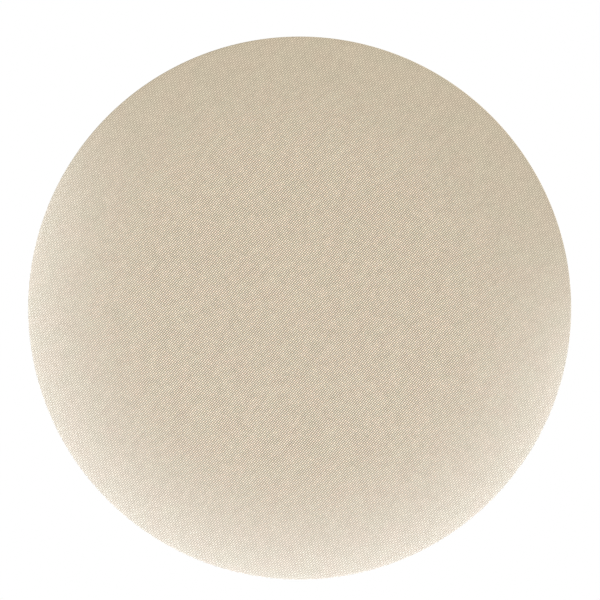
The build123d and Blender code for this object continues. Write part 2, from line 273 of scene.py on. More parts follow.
def select_faces(piece, wanted):
    """Goes into edit mode with only the faces that pass this test selected."""
    bpy.ops.object.mode_set(mode="EDIT")
    bpy.ops.mesh.select_mode(type="FACE")
    bpy.ops.mesh.select_all(action="DESELECT")
    bpy.ops.object.mode_set(mode="OBJECT")
    for face in piece.data.polygons:
        face.select = wanted(face)
    bpy.ops.object.mode_set(mode="EDIT")


def face_towards(piece, direction):
    """Turns all faces round if the ones that look along this direction are the fewer."""
    direction = Vector(direction)
    lean = sum(face.normal.dot(direction) * face.area for face in piece.data.polygons)
    if lean < 0:
        select_only(piece)
        bpy.ops.object.mode_set(mode="EDIT")
        bpy.ops.mesh.select_all(action="SELECT")
        bpy.ops.mesh.flip_normals()
        bpy.ops.object.mode_set(mode="OBJECT")


def apply_modifier(piece, kind, **settings):
    """Adds one modifier with these settings and applies it."""
    select_only(piece)
    modifier = piece.modifiers.new(kind.title(), kind)
    for setting, value in settings.items():
        setattr(modifier, setting, value)
    bpy.ops.object.modifier_apply(modifier=modifier.name)


def smooth(piece, angle=radians(40)):
    """Shades a piece smooth, with creases above this angle."""
    select_only(piece)
    bpy.ops.object.shade_smooth_by_angle(angle=angle)


def delete_faces(piece, unwanted):
    """Deletes the faces whose centre passes this test, and the vertices that only they used."""
    select_only(piece)
    select_faces(piece, lambda face: unwanted(face.center))
    bpy.ops.mesh.delete(type="FACE")
    bpy.ops.mesh.select_mode(type="VERT")
    bpy.ops.object.mode_set(mode="OBJECT")


def lengths_along(piece, outline):
    """How far along its outline each vertex of a lathed piece lies."""
    line = np.array(outline)
    lengths = np.concatenate([[0], np.cumsum(np.hypot(*np.diff(line, axis=0).T))])
    found = []
    for vertex in piece.data.vertices:
        radius = hypot(vertex.co.x, vertex.co.z)
        nearest = np.argmin((line[:, 0] - radius) ** 2 + (line[:, 1] - vertex.co.y) ** 2)
        found.append(lengths[nearest])
    return found


def lay_flat(piece, outline):
    """Gives a round cloth a UV map of the cloth as it was cut, in metres from the disc's centre."""
    flat = []
    for vertex, length in zip(piece.data.vertices, lengths_along(piece, outline)):
        stretch = length / max(hypot(vertex.co.x, vertex.co.z), 1e-9)
        flat.append((vertex.co.x * stretch, vertex.co.z * stretch))
    layer = piece.data.uv_layers.new(name="cloth")
    for loop in piece.data.loops:
        layer.data[loop.index].uv = flat[loop.vertex_index]


def lay_along(piece, outline):
    """Gives a ring a UV map that runs along it and across its outline, in metres."""
    across = lengths_along(piece, outline)
    layer = piece.data.uv_layers.new(name="cloth")
    mean_radius = np.array(outline)[:, 0].mean()
    for face in piece.data.polygons:
        middle = atan2(face.center.z, face.center.x)
        for loop in face.loop_indices:
            place = piece.data.loops[loop].vertex_index
            point = piece.data.vertices[place].co
            turn = atan2(point.z, point.x)
            turn += 2 * pi * round((middle - turn) / (2 * pi))
            layer.data[loop].uv = (turn * mean_radius, across[place])


def bevelled_copy(node, name, width, segments=2):
    """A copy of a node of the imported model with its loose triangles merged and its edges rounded."""
    piece = bpy.data.objects.new(name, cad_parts[node].data.copy())
    piece.data.name = name
    bpy.context.scene.collection.objects.link(piece)
    select_only(piece)
    bpy.ops.object.mode_set(mode="EDIT")
    bpy.ops.mesh.select_all(action="SELECT")
    bpy.ops.mesh.remove_doubles(threshold=0.001 * MM)
    bpy.ops.mesh.dissolve_limited(angle_limit=radians(1))
    bpy.ops.object.mode_set(mode="OBJECT")
    crease = radians(35)
    apply_modifier(piece, "BEVEL", width=width, segments=segments, limit_method="ANGLE", angle_limit=crease)
    smooth(piece, crease)
    return piece


def place_copies(name, template, places):
    """Copies a small template to each of these matrices and joins the copies into one piece."""
    bpy.ops.object.select_all(action="DESELECT")
    for place in places:
        copy = bpy.data.objects.new(name, template.data.copy())
        copy.data.transform(place)
        bpy.context.scene.collection.objects.link(copy)
        copy.select_set(True)
    bpy.context.view_layer.objects.active = copy
    bpy.ops.object.join()
    bpy.data.objects.remove(template)
    piece = bpy.context.object
    piece.name = name
    return piece


def standing(origin, along, up):
    """The matrix that lays a template's X along one direction and its Z along another."""
    along = Vector(along).normalized()
    side = Vector(up).cross(along).normalized()
    matrix = Matrix((along, side, along.cross(side))).transposed().to_4x4()
    matrix.translation = origin
    return matrix


def one_stitch(settings, length=None):
    """One stitch along X: a short thread whose two ends dip into the cloth below."""
    length = length or settings.stitch_length
    radius = settings.thread_radius
    bpy.ops.object.select_all(action="DESELECT")
    bpy.ops.mesh.primitive_cylinder_add(
        vertices=6, radius=radius, depth=length * 0.6, location=(0, 0, 0), rotation=(0, pi / 2, 0)
    )
    stitch = bpy.context.object
    bpy.ops.object.transform_apply(location=True, rotation=True, scale=True)
    for side in (-1, 1):
        select_faces(stitch, lambda face: face.normal.x * side > 0.9)
        step = (side * length * 0.12, 0, -radius * 0.5)
        bpy.ops.mesh.extrude_region_move(TRANSFORM_OT_translate={"value": step})
        bpy.ops.transform.resize(value=(1, 0.85, 0.85))
        step = (side * length * 0.08, 0, -radius * 0.9)
        bpy.ops.mesh.extrude_region_move(TRANSFORM_OT_translate={"value": step})
        bpy.ops.transform.resize(value=(1, 0.5, 0.5))
        bpy.ops.mesh.select_mode(type="VERT")
        bpy.ops.object.mode_set(mode="OBJECT")
    bpy.ops.object.shade_smooth()
    return stitch


def ring_places(radius, y, arcs, pitch, up, chance):
    """Where the stitches of a round row lie. Arcs are pairs of angles from the lowest point."""
    places = []
    for start, stop in arcs:
        count = int(abs(stop - start) * radius / pitch)
        for step in range(count):
            turn = start + (stop - start) * (step + 0.5) / count
            outward = Vector((sin(turn), 0, -cos(turn)))
            along = Vector((cos(turn), 0, sin(turn)))
            along = Matrix.Rotation(chance.uniform(-0.03, 0.03), 3, "Y") @ along
            origin = outward * (radius + chance.uniform(-0.05, 0.05) * MM) + Vector((0, y, 0))
            places.append(standing(origin, along, up))
    return places


def in_window(point, inner, outer):
    """True for a point on the back, in the zip's window."""
    radius = hypot(point.x, point.z)
    turn = abs(atan2(point.x, -point.z))
    return inner < radius < outer and turn < WINDOW_REACH and point.y > 0


def finish_piece(piece, material, nodes=()):
    """Gives a piece its material and its slot, and hides the model's nodes that it stands for."""
    piece.data.materials.clear()
    piece.data.materials.append(material)
    if nodes:
        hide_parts(*nodes)


def fold_with_panel(piece):
    """Bakes a piece's placement into its mesh."""
    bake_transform(piece)


def dress(node, material):
    """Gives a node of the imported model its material."""
    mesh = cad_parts[node].data
    mesh.materials.clear()
    mesh.materials.append(material)


# Materials


def empty_material(name):
    """A new material with no nodes yet, then its nodes and its links."""
    material = bpy.data.materials.new(name)
    material.use_nodes = True
    material.node_tree.nodes.clear()
    return material, material.node_tree.nodes, material.node_tree.links


def thread_rows(nodes, links, kind, place, across, wander, wander_share):
    """Counts the threads of one way across the cloth, each a little out of line, with a round top."""
    straight = nodes.new("ShaderNodeVectorMath")
    straight.label = f"Count across the {kind} threads"
    straight.operation = "DOT_PRODUCT"
    straight.inputs[1].default_value = across
    count = nodes.new("ShaderNodeMath")
    count.label = f"Count of the {kind} with its wander"
    count.operation = "MULTIPLY_ADD"
    count.inputs[1].default_value = wander * 2
    number = nodes.new("ShaderNodeMath")
    number.label = f"Which {kind} thread"
    number.operation = "FLOOR"
    turn = nodes.new("ShaderNodeMath")
    turn.label = f"Half a turn per {kind} thread"
    turn.operation = "MULTIPLY"
    turn.inputs[1].default_value = pi
    wave = nodes.new("ShaderNodeMath")
    wave.label = f"Wave across the {kind}"
    wave.operation = "SINE"
    top = nodes.new("ShaderNodeMath")
    top.label = f"Round top of the {kind} thread"
    top.operation = "ABSOLUTE"
    links.new(place, straight.inputs[0])
    links.new(wander_share, count.inputs[0])
    links.new(straight.outputs["Value"], count.inputs[2])
    links.new(count.outputs[0], number.inputs[0])
    links.new(count.outputs[0], turn.inputs[0])
    links.new(turn.outputs[0], wave.inputs[0])
    links.new(wave.outputs[0], top.inputs[0])
    return straight, count, number, turn, wave, top


def thread_slubs(nodes, links, kind, number, along, stretch, slub, gap, spread):
    """Gives each thread of one way lighter and darker lengths, and a gap that opens and narrows."""
    length = nodes.new("ShaderNodeMath")
    length.label = f"Lengths along the {kind}"
    length.operation = "MULTIPLY"
    length.inputs[1].default_value = stretch
    place = nodes.new("ShaderNodeCombineXYZ")
    place.label = f"Along one {kind} thread"
    slubs = nodes.new("ShaderNodeTexNoise")
    slubs.label = f"Slubs of the {kind}"
    slubs.inputs["Scale"].default_value = 1.7
    slubs.inputs["Detail"].default_value = 4
    slubs.inputs["Roughness"].default_value = 0.75
    tone = nodes.new("ShaderNodeMapRange")
    tone.label = f"Tone of the {kind}"
    tone.inputs["From Min"].default_value = 0.3
    tone.inputs["From Max"].default_value = 0.7
    tone.inputs["To Min"].default_value = 1 - slub
    tone.inputs["To Max"].default_value = 1 + slub
    opening = nodes.new("ShaderNodeMapRange")
    opening.label = f"How open the {kind} is here"
    opening.inputs["From Min"].default_value = 0.35
    opening.inputs["From Max"].default_value = 0.65
    opening.inputs["To Min"].default_value = 1 - gap * (1 + spread)
    opening.inputs["To Max"].default_value = 1 - gap * (1 - spread)
    links.new(along.outputs[0], length.inputs[0])
    links.new(number.outputs[0], place.inputs["X"])
    links.new(length.outputs[0], place.inputs["Y"])
    links.new(place.outputs[0], slubs.inputs["Vector"])
    links.new(slubs.outputs["Fac"], tone.inputs["Value"])
    links.new(slubs.outputs["Fac"], opening.inputs["Value"])
    return length, place, slubs, tone, opening


def thread_fibres(nodes, links, kind, place, scale):
    """Fine streaks that run round the threads of one way with their twist."""
    twist = nodes.new("ShaderNodeMapping")
    twist.label = f"Twist of the {kind}"
    twist.vector_type = "TEXTURE"
    twist.inputs["Rotation"].default_value = (0, 0, -0.4)
    twist.inputs["Scale"].default_value = scale
    fibres = nodes.new("ShaderNodeTexNoise")
    fibres.label = f"Fibres of the {kind}"
    fibres.inputs["Scale"].default_value = 1
    links.new(place.outputs[0], twist.inputs["Vector"])
    links.new(twist.outputs[0], fibres.inputs["Vector"])
    return twist, fibres


def woven_cloth(name, warp, weft, gap, pitch, angles, source="UV", warp_share=0.0, slub=0.1,
                relief=0.35, warp_gap=0.5, weft_gap=0.5, wander=0.3, fade=0.15, tight_edge=0.0):
    """Plain-weave cloth: two sets of twisted threads that cross, uneven in tone, with shaded gaps."""
    material, nodes, links = empty_material(name)

    # Which thread each point is on
    if source == "UV":
        place = nodes.new("ShaderNodeUVMap")
        place.uv_map = "cloth"
        place.label = "Cloth as it was cut"
        place_out = place.outputs["UV"]
        across = [(-sin(angle), cos(angle), 0) for angle in angles]
    else:
        place = nodes.new("ShaderNodeTexCoord")
        place.label = "Place on the panel"
        place_out = place.outputs["Object"]
        across = [(-sin(angle), 0, cos(angle)) for angle in angles]
    drift = nodes.new("ShaderNodeTexNoise")
    drift.label = "Threads wander and jostle"
    drift.inputs["Scale"].default_value = 0.11 / pitch
    drift.inputs["Detail"].default_value = 3
    drift.inputs["Roughness"].default_value = 0.7
    drift_parts = nodes.new("ShaderNodeSeparateColor")
    drift_parts.label = "Separate wander for each way"
    links.new(place_out, drift.inputs["Vector"])
    links.new(drift.outputs["Color"], drift_parts.inputs["Color"])
    warp_rows = thread_rows(nodes, links, "warp", place_out, [part / pitch for part in across[0]],
                            wander, drift_parts.outputs["Red"])
    weft_rows = thread_rows(nodes, links, "weft", place_out, [part / pitch for part in across[1]],
                            wander, drift_parts.outputs["Green"])
    _, warp_count, warp_number, _, warp_wave, warp_round = warp_rows
    _, weft_count, weft_number, _, weft_wave, weft_round = weft_rows

    # Threads that pass over and under
    crossing = nodes.new("ShaderNodeMath")
    crossing.label = "Over here, under there"
    crossing.operation = "MULTIPLY"
    warp_up = nodes.new("ShaderNodeMapRange")
    warp_up.label = "Where the warp lies on top"
    warp_up.interpolation_type = "SMOOTHSTEP"
    warp_up.inputs["From Min"].default_value = -0.2 - warp_share
    warp_up.inputs["From Max"].default_value = 0.2 - warp_share
    top = nodes.new("ShaderNodeMix")
    top.label = "Height of the thread on top"
    links.new(warp_wave.outputs[0], crossing.inputs[0])
    links.new(weft_wave.outputs[0], crossing.inputs[1])
    links.new(crossing.outputs[0], warp_up.inputs["Value"])
    links.new(warp_up.outputs["Result"], top.inputs["Factor"])
    links.new(weft_round.outputs[0], top.inputs["A"])
    links.new(warp_round.outputs[0], top.inputs["B"])

    # Slubs: each thread has its own tone, with lighter and darker lengths, and its own gap
    warp_slubs = thread_slubs(nodes, links, "warp", warp_number, weft_count, 0.07, slub, warp_gap, 0.12)
    weft_slubs = thread_slubs(nodes, links, "weft", weft_number, warp_count, 0.09, slub, weft_gap, 0.15)
    _, _, _, warp_tone, warp_open = warp_slubs
    _, _, _, weft_tone, weft_open = weft_slubs
    tone = nodes.new("ShaderNodeMix")
    tone.label = "Tone of the thread on top"
    links.new(warp_up.outputs["Result"], tone.inputs["Factor"])
    links.new(weft_tone.outputs["Result"], tone.inputs["A"])
    links.new(warp_tone.outputs["Result"], tone.inputs["B"])

    # Fibres: fine streaks that run round each thread with its twist
    thread_place = nodes.new("ShaderNodeCombineXYZ")
    thread_place.label = "Place counted in threads"
    warp_twist, warp_fibres = thread_fibres(nodes, links, "warp", thread_place, (0.13, 1.1, 1))
    weft_twist, weft_fibres = thread_fibres(nodes, links, "weft", thread_place, (1.1, 0.13, 1))
    fibres = nodes.new("ShaderNodeMix")
    fibres.label = "Fibres of the thread on top"
    fibre_tone = nodes.new("ShaderNodeMapRange")
    fibre_tone.label = "Light and dark fibres"
    fibre_tone.inputs["From Min"].default_value = 0.3
    fibre_tone.inputs["From Max"].default_value = 0.7
    fibre_tone.inputs["To Min"].default_value = 0.84
    fibre_tone.inputs["To Max"].default_value = 1.16
    full_tone = nodes.new("ShaderNodeMath")
    full_tone.label = "Tone with its fibres"
    full_tone.operation = "MULTIPLY"
    fibre_height = nodes.new("ShaderNodeMath")
    fibre_height.label = "Fibres stand out"
    fibre_height.operation = "MULTIPLY_ADD"
    fibre_height.inputs[1].default_value = 0.35
    links.new(warp_count.outputs[0], thread_place.inputs["X"])
    links.new(weft_count.outputs[0], thread_place.inputs["Y"])
    links.new(warp_up.outputs["Result"], fibres.inputs["Factor"])
    links.new(weft_fibres.outputs["Fac"], fibres.inputs["A"])
    links.new(warp_fibres.outputs["Fac"], fibres.inputs["B"])
    links.new(fibres.outputs["Result"], fibre_tone.inputs["Value"])
    links.new(fibre_tone.outputs["Result"], full_tone.inputs[0])
    links.new(tone.outputs["Result"], full_tone.inputs[1])
    links.new(fibres.outputs["Result"], fibre_height.inputs[0])
    links.new(top.outputs["Result"], fibre_height.inputs[2])

    # Colour: threads, gaps that close up in places, and a slow change over the cloth
    yarn = nodes.new("ShaderNodeMix")
    yarn.label = "Warp and weft yarn"
    yarn.data_type = "RGBA"
    yarn.inputs["A"].default_value = (*weft, 1)
    yarn.inputs["B"].default_value = (*warp, 1)
    toned = nodes.new("ShaderNodeVectorMath")
    toned.label = "Yarn with its tone"
    toned.operation = "SCALE"
    weft_shade = nodes.new("ShaderNodeMapRange")
    weft_shade.label = "Shade between weft threads"
    warp_shade = nodes.new("ShaderNodeMapRange")
    warp_shade.label = "Shade between warp threads"
    gap_depth = nodes.new("ShaderNodeMath")
    gap_depth.label = "Gaps between threads"
    gap_depth.operation = "MULTIPLY"
    patches = nodes.new("ShaderNodeTexNoise")
    patches.label = "Patches on the cloth"
    patches.inputs["Scale"].default_value = 60
    patches.inputs["Detail"].default_value = 2
    closing = nodes.new("ShaderNodeMapRange")
    closing.label = "Where the gaps close up"
    closing.inputs["From Min"].default_value = 0.4
    closing.inputs["From Max"].default_value = 0.68
    closing.inputs["To Max"].default_value = fade
    from_middle = nodes.new("ShaderNodeVectorMath")
    from_middle.label = "Distance from the middle"
    from_middle.operation = "LENGTH"
    drawn = nodes.new("ShaderNodeMapRange")
    drawn.label = "Drawn tight towards the rim"
    drawn.inputs["From Min"].default_value = RIM_RADIUS * 0.5
    drawn.inputs["From Max"].default_value = RIM_RADIUS
    drawn.inputs["To Max"].default_value = tight_edge
    closed_up = nodes.new("ShaderNodeMath")
    closed_up.label = "Gaps closed up"
    closed_up.operation = "MAXIMUM"
    evened = nodes.new("ShaderNodeMix")
    evened.label = "Gaps with the closed patches"
    evened.inputs["B"].default_value = 1 - (warp_gap + weft_gap) * 0.3
    gapped = nodes.new("ShaderNodeMix")
    gapped.label = "Shade in the gaps"
    gapped.data_type = "RGBA"
    gapped.inputs["A"].default_value = (*gap, 1)
    tint_patches = nodes.new("ShaderNodeTexNoise")
    tint_patches.label = "Slow change over the cloth"
    tint_patches.inputs["Scale"].default_value = 42
    tint_patches.inputs["Detail"].default_value = 1
    patch_tint = nodes.new("ShaderNodeValToRGB")
    patch_tint.label = "Warmer and cooler patches"
    patch_tint.color_ramp.elements[0].position = 0.35
    patch_tint.color_ramp.elements[0].color = (0.98, 0.993, 0.988, 1)
    patch_tint.color_ramp.elements[1].position = 0.65
    patch_tint.color_ramp.elements[1].color = (1, 0.985, 0.988, 1)
    tinted = nodes.new("ShaderNodeMix")
    tinted.label = "Cloth colour"
    tinted.data_type = "RGBA"
    tinted.blend_type = "MULTIPLY"
    tinted.inputs["Factor"].default_value = 1
    links.new(warp_up.outputs["Result"], yarn.inputs["Factor"])
    links.new(yarn.outputs["Result"], toned.inputs[0])
    links.new(full_tone.outputs[0], toned.inputs["Scale"])
    links.new(warp_round.outputs[0], warp_shade.inputs["Value"])
    links.new(warp_open.outputs["Result"], warp_shade.inputs["To Min"])
    links.new(weft_round.outputs[0], weft_shade.inputs["Value"])
    links.new(weft_open.outputs["Result"], weft_shade.inputs["To Min"])
    links.new(warp_shade.outputs["Result"], gap_depth.inputs[0])
    links.new(weft_shade.outputs["Result"], gap_depth.inputs[1])
    links.new(place_out, patches.inputs["Vector"])
    links.new(patches.outputs["Fac"], closing.inputs["Value"])
    links.new(place_out, from_middle.inputs[0])
    links.new(from_middle.outputs["Value"], drawn.inputs["Value"])
    links.new(closing.outputs["Result"], closed_up.inputs[0])
    links.new(drawn.outputs["Result"], closed_up.inputs[1])
    links.new(closed_up.outputs[0], evened.inputs["Factor"])
    links.new(gap_depth.outputs[0], evened.inputs["A"])
    links.new(evened.outputs["Result"], gapped.inputs["Factor"])
    links.new(toned.outputs["Vector"], gapped.inputs["B"])
    links.new(place_out, tint_patches.inputs["Vector"])
    links.new(tint_patches.outputs["Fac"], patch_tint.inputs["Fac"])
    links.new(gapped.outputs["Result"], tinted.inputs["A"])
    links.new(patch_tint.outputs["Color"], tinted.inputs["B"])

    # Surface: raised threads, a dry finish and a little fuzz
    bump = nodes.new("ShaderNodeBump")
    bump.label = "Raised threads"
    bump.inputs["Strength"].default_value = relief
    bump.inputs["Distance"].default_value = pitch / 4
    cloth = nodes.new("ShaderNodeBsdfPrincipled")
    cloth.label = "Dry woven cloth"
    cloth.inputs["Roughness"].default_value = 0.92
    cloth.inputs["Specular IOR Level"].default_value = 0.12
    cloth.inputs["Sheen Weight"].default_value = 0.05
    cloth.inputs["Sheen Roughness"].default_value = 0.6
    output = nodes.new("ShaderNodeOutputMaterial")
    output.label = "Cloth"
    links.new(fibre_height.outputs[0], bump.inputs["Height"])
    links.new(bump.outputs["Normal"], cloth.inputs["Normal"])
    links.new(tinted.outputs["Result"], cloth.inputs["Base Color"])
    links.new(cloth.outputs["BSDF"], output.inputs["Surface"])

    groups = {
        "Which thread": (place, drift, drift_parts, *warp_rows[:3], *weft_rows[:3]),
        "Over and under": (*warp_rows[3:], *weft_rows[3:], crossing, warp_up, top),
        "Slubs": (*warp_slubs, *weft_slubs, tone),
        "Fibres": (thread_place, warp_twist, weft_twist, warp_fibres, weft_fibres, fibres, fibre_tone,
                   full_tone, fibre_height),
        "Colour": (yarn, toned, warp_shade, weft_shade, gap_depth, patches, closing, from_middle, drawn,
                   closed_up, evened, gapped, tint_patches, patch_tint, tinted),
        "Surface": (bump, cloth, output),
    }
    arrange(nodes, groups)
    return material


def fleece(name, colour):
    """Brushed wadding: soft tufts with shaded hollows."""
    material, nodes, links = empty_material(name)
    place = nodes.new("ShaderNodeTexCoord")
    place.label = "Place on the panel"
    tufts = nodes.new("ShaderNodeTexVoronoi")
    tufts.label = "Tufts"
    tufts.feature = "SMOOTH_F1"
    tufts.inputs["Scale"].default_value = 260
    fibres = nodes.new("ShaderNodeTexNoise")
    fibres.label = "Loose fibres"
    fibres.inputs["Scale"].default_value = 900
    fibres.inputs["Detail"].default_value = 5
    fibres.inputs["Distortion"].default_value = 1.2
    pile = nodes.new("ShaderNodeMath")
    pile.label = "Pile height"
    pile.operation = "MULTIPLY_ADD"
    pile.inputs[1].default_value = 0.6
    shade = nodes.new("ShaderNodeValToRGB")
    shade.label = "Hollows and tips"
    shade.color_ramp.elements[0].position = 0.3
    shade.color_ramp.elements[0].color = (*[part * 0.72 for part in colour], 1)
    shade.color_ramp.elements[1].position = 0.8
    shade.color_ramp.elements[1].color = (*colour, 1)
    bump = nodes.new("ShaderNodeBump")
    bump.label = "Brushed pile"
    bump.inputs["Strength"].default_value = 0.6
    bump.inputs["Distance"].default_value = 0.8 * MM
    wadding = nodes.new("ShaderNodeBsdfPrincipled")
    wadding.label = "Wadding"
    wadding.inputs["Roughness"].default_value = 1
    wadding.inputs["Specular IOR Level"].default_value = 0.05
    wadding.inputs["Sheen Weight"].default_value = 0.35
    output = nodes.new("ShaderNodeOutputMaterial")
    output.label = "Liner"
    links.new(place.outputs["Object"], tufts.inputs["Vector"])
    links.new(place.outputs["Object"], fibres.inputs["Vector"])
    links.new(fibres.outputs["Fac"], pile.inputs[0])
    links.new(tufts.outputs["Distance"], pile.inputs[2])
    links.new(pile.outputs[0], shade.inputs["Fac"])
    links.new(pile.outputs[0], bump.inputs["Height"])
    links.new(shade.outputs["Color"], wadding.inputs["Base Color"])
    links.new(bump.outputs["Normal"], wadding.inputs["Normal"])
    links.new(wadding.outputs["BSDF"], output.inputs["Surface"])
    arrange(nodes, {"Pile": (place, tufts, fibres, pile), "Surface": (shade, bump, wadding, output)})
    return material


def sewing_thread(name, colour):
    """Twisted polyester thread."""
    material, nodes, links = empty_material(name)
    place = nodes.new("ShaderNodeTexCoord")
    place.label = "Place on the panel"
    plies = nodes.new("ShaderNodeTexWave")
    plies.label = "Twisted plies"
    plies.bands_direction = "DIAGONAL"
    plies.inputs["Scale"].default_value = 900
    plies.inputs["Distortion"].default_value = 1.5
    tone = nodes.new("ShaderNodeTexNoise")
    tone.label = "Tone from stitch to stitch"
    tone.inputs["Scale"].default_value = 320
    ply_shade = nodes.new("ShaderNodeValToRGB")
    ply_shade.label = "Ply shading"
    ply_shade.color_ramp.elements[0].color = (*[part * 0.7 for part in colour], 1)
    ply_shade.color_ramp.elements[1].color = (*[min(1, part * 1.12) for part in colour], 1)
    blend_tone = nodes.new("ShaderNodeMath")
    blend_tone.label = "Ply and tone"
    blend_tone.operation = "MULTIPLY_ADD"
    blend_tone.inputs[1].default_value = 0.5
    bump = nodes.new("ShaderNodeBump")
    bump.label = "Ply relief"
    bump.inputs["Strength"].default_value = 0.4
    bump.inputs["Distance"].default_value = 0.1 * MM
    thread = nodes.new("ShaderNodeBsdfPrincipled")
    thread.label = "Polyester thread"
    thread.inputs["Roughness"].default_value = 0.55
    thread.inputs["Sheen Weight"].default_value = 0.2
    output = nodes.new("ShaderNodeOutputMaterial")
    output.label = "Thread"
    links.new(place.outputs["Object"], plies.inputs["Vector"])
    links.new(place.outputs["Object"], tone.inputs["Vector"])
    links.new(plies.outputs["Fac"], blend_tone.inputs[0])
    links.new(tone.outputs["Fac"], blend_tone.inputs[2])
    links.new(blend_tone.outputs[0], ply_shade.inputs["Fac"])
    links.new(plies.outputs["Fac"], bump.inputs["Height"])
    links.new(ply_shade.outputs["Color"], thread.inputs["Base Color"])
    links.new(bump.outputs["Normal"], thread.inputs["Normal"])
    links.new(thread.outputs["BSDF"], output.inputs["Surface"])
    arrange(nodes, {"Plies": (place, plies, tone, blend_tone), "Surface": (ply_shade, bump, thread, output)})
    return material


def metal(name, colour, worn_colour, roughness, brushing, metallic=1.0, wear=0.5):
    """Metal with a drawn or brushed finish, tarnish in patches and brighter wear."""
    material, nodes, links = empty_material(name)
    place = nodes.new("ShaderNodeTexCoord")
    place.label = "Place on the panel"
    stretch = nodes.new("ShaderNodeMapping")
    stretch.label = "Brushing direction"
    stretch.inputs["Scale"].default_value = brushing
    lines = nodes.new("ShaderNodeTexNoise")
    lines.label = "Brushed lines"
    lines.inputs["Scale"].default_value = 700
    lines.inputs["Detail"].default_value = 3
    tarnish = nodes.new("ShaderNodeTexNoise")
    tarnish.label = "Tarnish"
    tarnish.inputs["Scale"].default_value = 140
    tarnish.inputs["Detail"].default_value = 5
    tarnish.inputs["Roughness"].default_value = 0.6
    edges = nodes.new("ShaderNodeNewGeometry")
    edges.label = "Edges and corners"
    edge_wear = nodes.new("ShaderNodeMapRange")
    edge_wear.label = "Wear on the edges"
    edge_wear.inputs["From Min"].default_value = 0.5
    edge_wear.inputs["From Max"].default_value = 0.62
    edge_wear.inputs["To Max"].default_value = wear
    patches = nodes.new("ShaderNodeMapRange")
    patches.label = "Wear in patches"
    patches.inputs["From Min"].default_value = 0.52
    patches.inputs["From Max"].default_value = 0.72
    patches.inputs["To Max"].default_value = wear
    worn = nodes.new("ShaderNodeMath")
    worn.label = "All wear"
    worn.operation = "MAXIMUM"
    tint = nodes.new("ShaderNodeMix")
    tint.label = "Finish and worn metal"
    tint.data_type = "RGBA"
    tint.inputs["A"].default_value = (*colour, 1)
    tint.inputs["B"].default_value = (*worn_colour, 1)
    gloss = nodes.new("ShaderNodeMapRange")
    gloss.label = "Roughness of the lines"
    gloss.inputs["To Min"].default_value = roughness * 0.75
    gloss.inputs["To Max"].default_value = min(1, roughness * 1.35)
    bump = nodes.new("ShaderNodeBump")
    bump.label = "Fine relief"
    bump.inputs["Strength"].default_value = 0.15
    bump.inputs["Distance"].default_value = 0.05 * MM
    surface = nodes.new("ShaderNodeBsdfPrincipled")
    surface.label = "Metal"
    surface.inputs["Metallic"].default_value = metallic
    output = nodes.new("ShaderNodeOutputMaterial")
    output.label = "Metal finish"
    links.new(place.outputs["Object"], stretch.inputs["Vector"])
    links.new(stretch.outputs["Vector"], lines.inputs["Vector"])
    links.new(place.outputs["Object"], tarnish.inputs["Vector"])
    links.new(edges.outputs["Pointiness"], edge_wear.inputs["Value"])
    links.new(tarnish.outputs["Fac"], patches.inputs["Value"])
    links.new(edge_wear.outputs["Result"], worn.inputs[0])
    links.new(patches.outputs["Result"], worn.inputs[1])
    links.new(worn.outputs[0], tint.inputs["Factor"])
    links.new(lines.outputs["Fac"], gloss.inputs["Value"])
    links.new(lines.outputs["Fac"], bump.inputs["Height"])
    links.new(tint.outputs["Result"], surface.inputs["Base Color"])
    links.new(gloss.outputs["Result"], surface.inputs["Roughness"])
    links.new(bump.outputs["Normal"], surface.inputs["Normal"])
    links.new(surface.outputs["BSDF"], output.inputs["Surface"])
    groups = {
        "Lines": (place, stretch, lines, gloss),
        "Wear": (edges, edge_wear, tarnish, patches, worn, tint),
        "Surface": (bump, surface, output),
    }
    arrange(nodes, groups)
    return material


def moulded(name, colour, roughness, grain):
    """Moulded plastic or rubber with a fine grain and a dusting of wear."""
    material, nodes, links = empty_material(name)
    place = nodes.new("ShaderNodeTexCoord")
    place.label = "Place on the panel"
    skin = nodes.new("ShaderNodeTexNoise")
    skin.label = "Mould grain"
    skin.inputs["Scale"].default_value = grain
    skin.inputs["Detail"].default_value = 4
    dust = nodes.new("ShaderNodeTexNoise")
    dust.label = "Rubbed and dusty patches"
    dust.inputs["Scale"].default_value = 90
    dust.inputs["Detail"].default_value = 3
    tint = nodes.new("ShaderNodeValToRGB")
    tint.label = "Plastic colour"
    tint.color_ramp.elements[0].position = 0.35
    tint.color_ramp.elements[0].color = (*[part * 0.85 for part in colour], 1)
    tint.color_ramp.elements[1].position = 0.7
    tint.color_ramp.elements[1].color = (*[min(1, part * 1.15 + 0.01) for part in colour], 1)
    gloss = nodes.new("ShaderNodeMapRange")
    gloss.label = "Uneven gloss"
    gloss.inputs["To Min"].default_value = roughness * 0.8
    gloss.inputs["To Max"].default_value = min(1, roughness * 1.2)
    bump = nodes.new("ShaderNodeBump")
    bump.label = "Grain relief"
    bump.inputs["Strength"].default_value = 0.2
    bump.inputs["Distance"].default_value = 0.05 * MM
    plastic = nodes.new("ShaderNodeBsdfPrincipled")
    plastic.label = "Moulded plastic"
    output = nodes.new("ShaderNodeOutputMaterial")
    output.label = "Plastic"
    links.new(place.outputs["Object"], skin.inputs["Vector"])
    links.new(place.outputs["Object"], dust.inputs["Vector"])
    links.new(dust.outputs["Fac"], tint.inputs["Fac"])
    links.new(dust.outputs["Fac"], gloss.inputs["Value"])
    links.new(skin.outputs["Fac"], bump.inputs["Height"])
    links.new(tint.outputs["Color"], plastic.inputs["Base Color"])
    links.new(gloss.outputs["Result"], plastic.inputs["Roughness"])
    links.new(bump.outputs["Normal"], plastic.inputs["Normal"])
    links.new(plastic.outputs["BSDF"], output.inputs["Surface"])
    arrange(nodes, {"Grain": (place, skin, dust), "Surface": (tint, gloss, bump, plastic, output)})
    return material


